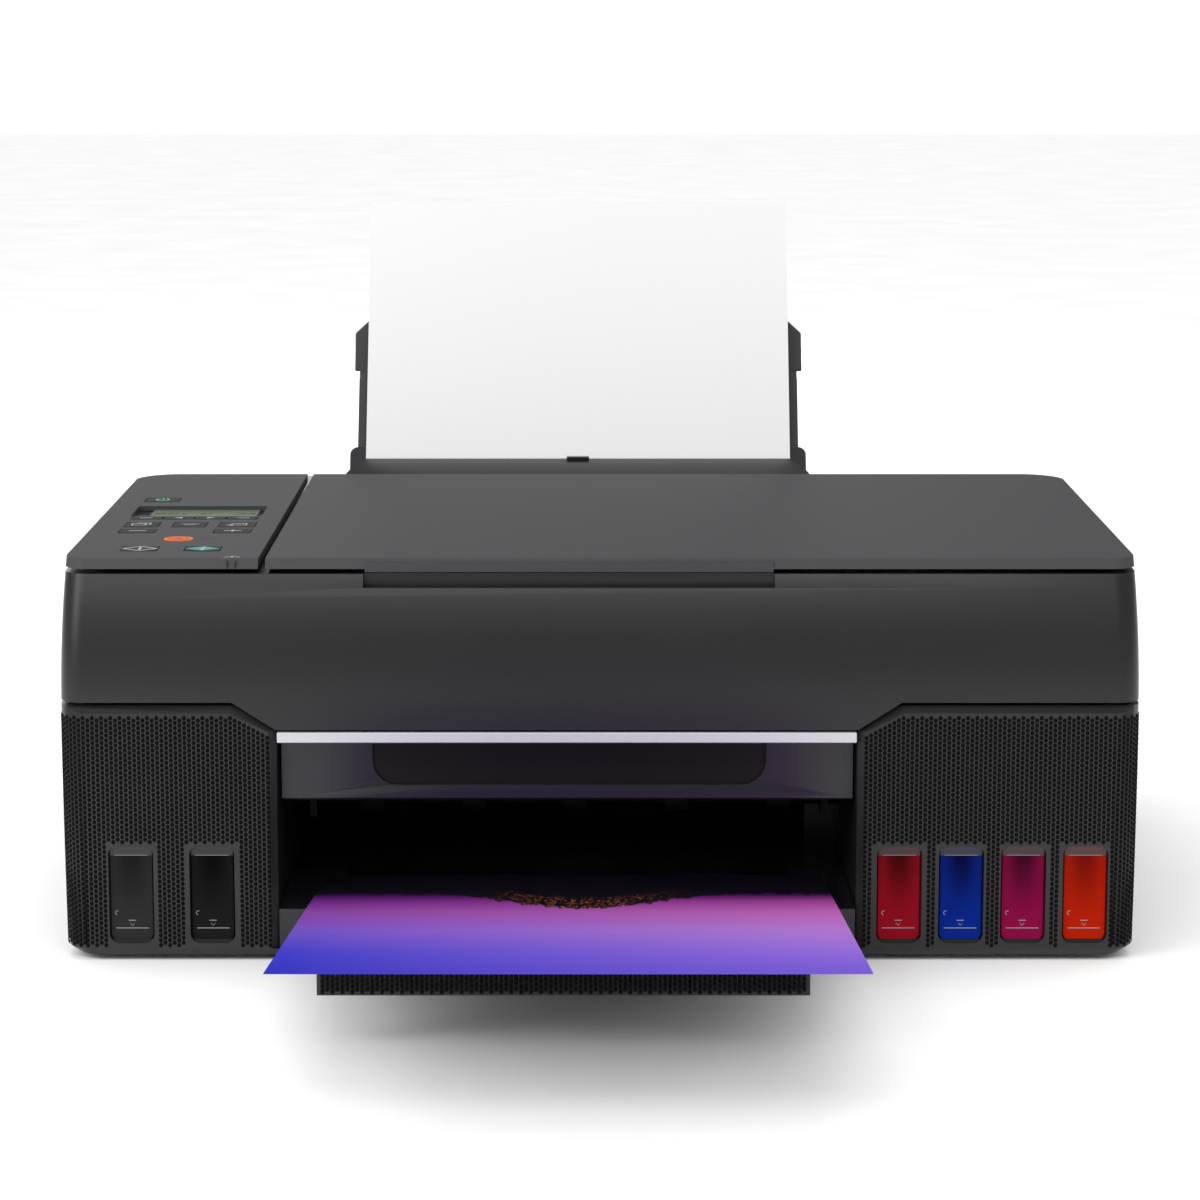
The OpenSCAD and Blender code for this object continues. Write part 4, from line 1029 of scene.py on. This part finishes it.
    def front_marker(self):
        """Arrow and light bar at the panel's front edge, and the lamp slot beside the stop key."""
        low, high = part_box("control_panel")
        x, y = -152.5 * MM, low[1] + 6.0 * MM
        bm = bmesh.new()
        at = placed(x, y, high[2] - INK_SINK)
        for a, b in (((-3.4, -1.6), (0, 1.6)), ((0, 1.6), (3.4, -1.6)), ((0, 1.6), (0, -2.6))):
            prism(bm, in_mm(stroke(*a, *b, 0.55)), at, sizes().mark_rise)
        close("edge_arrow", bm, mark_ink(), "scanner", SLOT_OF["display"])
        slits = bmesh.new()
        for dx in (-1.65, 1.65):
            box_piece(slits, (x + (dx - 0.12) * MM, low[1] - 0.0001, low[2] + 0.0002),
                      (x + (dx + 0.12) * MM, low[1] + 0.0008, high[2] - 0.0006))
        lamp_low, lamp_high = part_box("stop_key")
        y = (lamp_low[1] + lamp_high[1]) / 2
        box_piece(slits, (lamp_high[0] + 3.4 * MM, y - 0.5 * MM, high[2] - 0.0001),
                  (lamp_high[0] + 8.4 * MM, y + 0.5 * MM, high[2] + OVER_INK))
        close("lamp_slots", slits, dark_ink(), "scanner", SLOT_OF["display"])


class PRINTER_OT_feed(bpy.types.Operator):
    """Builds the rear paper feed with its sheets, support and cover."""
    bl_idname = "printer.feed"
    bl_label = "Rear feed"

    def execute(self, context):
        s = sizes()
        for node in ("hopper_plate", "paper_guide_left", "paper_guide_right"):
            refine(node, black_plastic(), s.small_edge)
        refine("loaded_paper", paper_fibre(), 0.0)
        refine("paper_support", support_plastic(), s.small_edge * 2)
        refine("support_extension", support_plastic(), s.small_edge * 2)
        refine("feed_cover", case_plastic(), s.edge)
        self.latch()
        return {"FINISHED"}

    def latch(self):
        """Small catch in the middle of the feed cover's rear edge."""
        low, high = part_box("feed_cover")
        x = (low[0] + high[0]) / 2
        bm = bmesh.new()
        half = 5.5 * MM
        box_piece(bm, (x - half, high[1] - 4 * MM, high[2] - 0.5 * MM),
                  (x + half, high[1], high[2] + 1.3 * MM))
        close("feed_cover_catch", bm, black_plastic(), "feed_cover", "black_plastic", 0.0004)


class PRINTER_OT_output(bpy.types.Operator):
    """Builds the output tray with its embossed front and the printed sheet."""
    bl_idname = "printer.output"
    bl_label = "Output"

    def execute(self, context):
        s = sizes()
        refine("output_tray", case_plastic(), s.edge)
        low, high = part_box("output_tray")
        columns = int((high[0] - low[0]) / s.cell_pitch) - 1
        rows = int(26.0 * MM / s.cell_step)
        first = (low[0] + high[0] - (columns - 1) * s.cell_pitch) / 2
        top = high[2]
        points, turns = [], []
        for i in range(columns):
            for k in range(rows):
                z = low[2] + 0.0018 + k * s.cell_step + (s.cell_step / 2 if i % 2 else 0.0)
                if z < min(low[2] + 0.0262, top):
                    points.append((first + i * s.cell_pitch, low[1], z))
                    turns.append(0.0)
        weave("tray_front_weave", points, turns, "output_tray", "charcoal_case")
        sheet_low, sheet_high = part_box("printed_sheet")
        slope = math.radians(7.6)
        origin = (sheet_low[0], sheet_high[1], sheet_low[2])
        width = sheet_high[0] - sheet_low[0]
        reach = (sheet_high[1] - sheet_low[1]) / math.cos(slope)
        refine("printed_sheet", sunset_print(origin, slope, width, reach), 0.0)
        return {"FINISHED"}


class PRINTER_OT_mechanism(bpy.types.Operator):
    """Paints the inner mechanism, which keeps its frame shapes."""
    bl_idname = "printer.mechanism"
    bl_label = "Mechanism"

    def execute(self, context):
        finishes = {
            dark_steel: ("print_frame",),
            steel: ("case_screws", "guide_rail", "motors", "drive_pulley", "idler_pulley",
                    "scanner_hinges"),
            board_green: ("mainboard",),
            black_plastic: ("power_supply", "purge_unit", "carriage", "print_heads"),
            rubber: ("carriage_belt", "feed_roller", "exit_roller"),
        }
        for finish, nodes in finishes.items():
            for node in nodes:
                refine(node, finish(), 0.0)
        return {"FINISHED"}


class PRINTER_OT_stage(bpy.types.Operator):
    """Makes the floor, the soft studio light and the camera."""
    bl_idname = "printer.stage"
    bl_label = "Stage"

    def execute(self, context):
        self.floor()
        self.world()
        # name, place, aimed at, size, power
        lamps = (
            ("front_softbox", (-0.3, -2.1, 1.75), (0.0, -0.15, 0.1), (2.3, 0.55), 14.6),
            ("key_softbox", (-1.5, -1.2, 1.2), (0.0, 0.0, 0.1), (0.9, 1.2), 14.0),
            ("top_softbox", (0.0, 0.3, 2.2), (0.0, 0.0, 0.1), (1.6, 1.2), 9.0),
            ("rear_softbox", (-0.6, 2.3, 0.42), (0.0, 0.1, 0.16), (2.2, 0.45), 9.5),
        )
        for name, place, aim, size, power in lamps:
            self.lamp(name, place, aim, size, power)
        camera = bpy.data.cameras.new("camera")
        camera.lens = 108.0
        camera.sensor_width = 36.0
        eye = bpy.data.objects.new("camera", camera)
        eye.location = (0.0, -1.6204, 0.4029)
        eye.rotation_euler = (math.radians(90.0 - 9.76), 0.0, 0.0)
        bpy.context.scene.collection.objects.link(eye)
        bpy.context.scene.camera = eye
        bpy.context.scene.view_settings.view_transform = "Standard"
        return {"FINISHED"}

    def floor(self):
        bm = bmesh.new()
        bmesh.ops.create_grid(bm, x_segments=1, y_segments=1, size=8.0)
        material = plastic("pale_floor", (0.94, 0.94, 0.94), 0.9, grain=300.0, depth=0.02, wear=0.0, dust=0.0)
        piece = from_bmesh("floor", bm, material)

    def world(self):
        world = bpy.data.worlds.new("studio")
        bpy.context.scene.world = world
        world.use_nodes = True
        tree = world.node_tree
        background = tree.nodes["Background"]
        background.inputs["Color"].default_value = (1.0, 1.0, 1.0, 1.0)
        # reflections see a dimmer room than the floor does
        rays = add_node(tree, "ShaderNodeLightPath")
        strength = add_node(tree, "ShaderNodeMapRange", in_To_Min=1.06, in_To_Max=0.28)
        wire(tree, (rays, "Is Glossy Ray", strength, "Value"), (strength, "Result", background, "Strength"))

    def lamp(self, name, place, aim, size, power):
        light = bpy.data.lights.new(name, "AREA")
        light.shape = "RECTANGLE"
        light.size, light.size_y = size
        light.energy = power
        piece = bpy.data.objects.new(name, light)
        piece.location = place
        piece.rotation_euler = (Vector(aim) - Vector(place)).to_track_quat("-Z", "Y").to_euler()
        bpy.context.scene.collection.objects.link(piece)


OPERATORS = (PRINTER_OT_lower_body, PRINTER_OT_tanks, PRINTER_OT_scanner, PRINTER_OT_lid, PRINTER_OT_panel,
             PRINTER_OT_feed, PRINTER_OT_output, PRINTER_OT_mechanism, PRINTER_OT_stage)


class PRINTER_PT_panel(bpy.types.Panel):
    """Lists the printer's sizes, colours and pieces."""
    bl_label = "Printer"
    bl_idname = "PRINTER_PT_panel"
    bl_space_type = "VIEW_3D"
    bl_region_type = "UI"
    bl_category = "Printer"

    def draw(self, context):
        for group in (context.scene.printer_sizes, context.scene.printer_colours):
            for name in group.__annotations__:
                self.layout.prop(group, name)
        for operator in OPERATORS:
            self.layout.operator(operator.bl_idname)


CLASSES = (PrinterColours, PrinterSizes) + OPERATORS + (PRINTER_PT_panel,)


def register():
    for cls in CLASSES:
        bpy.utils.register_class(cls)
    bpy.types.Scene.printer_colours = bpy.props.PointerProperty(type=PrinterColours)
    bpy.types.Scene.printer_sizes = bpy.props.PointerProperty(type=PrinterSizes)


def unregister():
    del bpy.types.Scene.printer_colours
    del bpy.types.Scene.printer_sizes
    for cls in reversed(CLASSES):
        bpy.utils.unregister_class(cls)


def main():
    register()
    for operator in OPERATORS:
        group, name = operator.bl_idname.split(".")
        getattr(getattr(bpy.ops, group), name)()


if __name__ == "__main__":
    main()
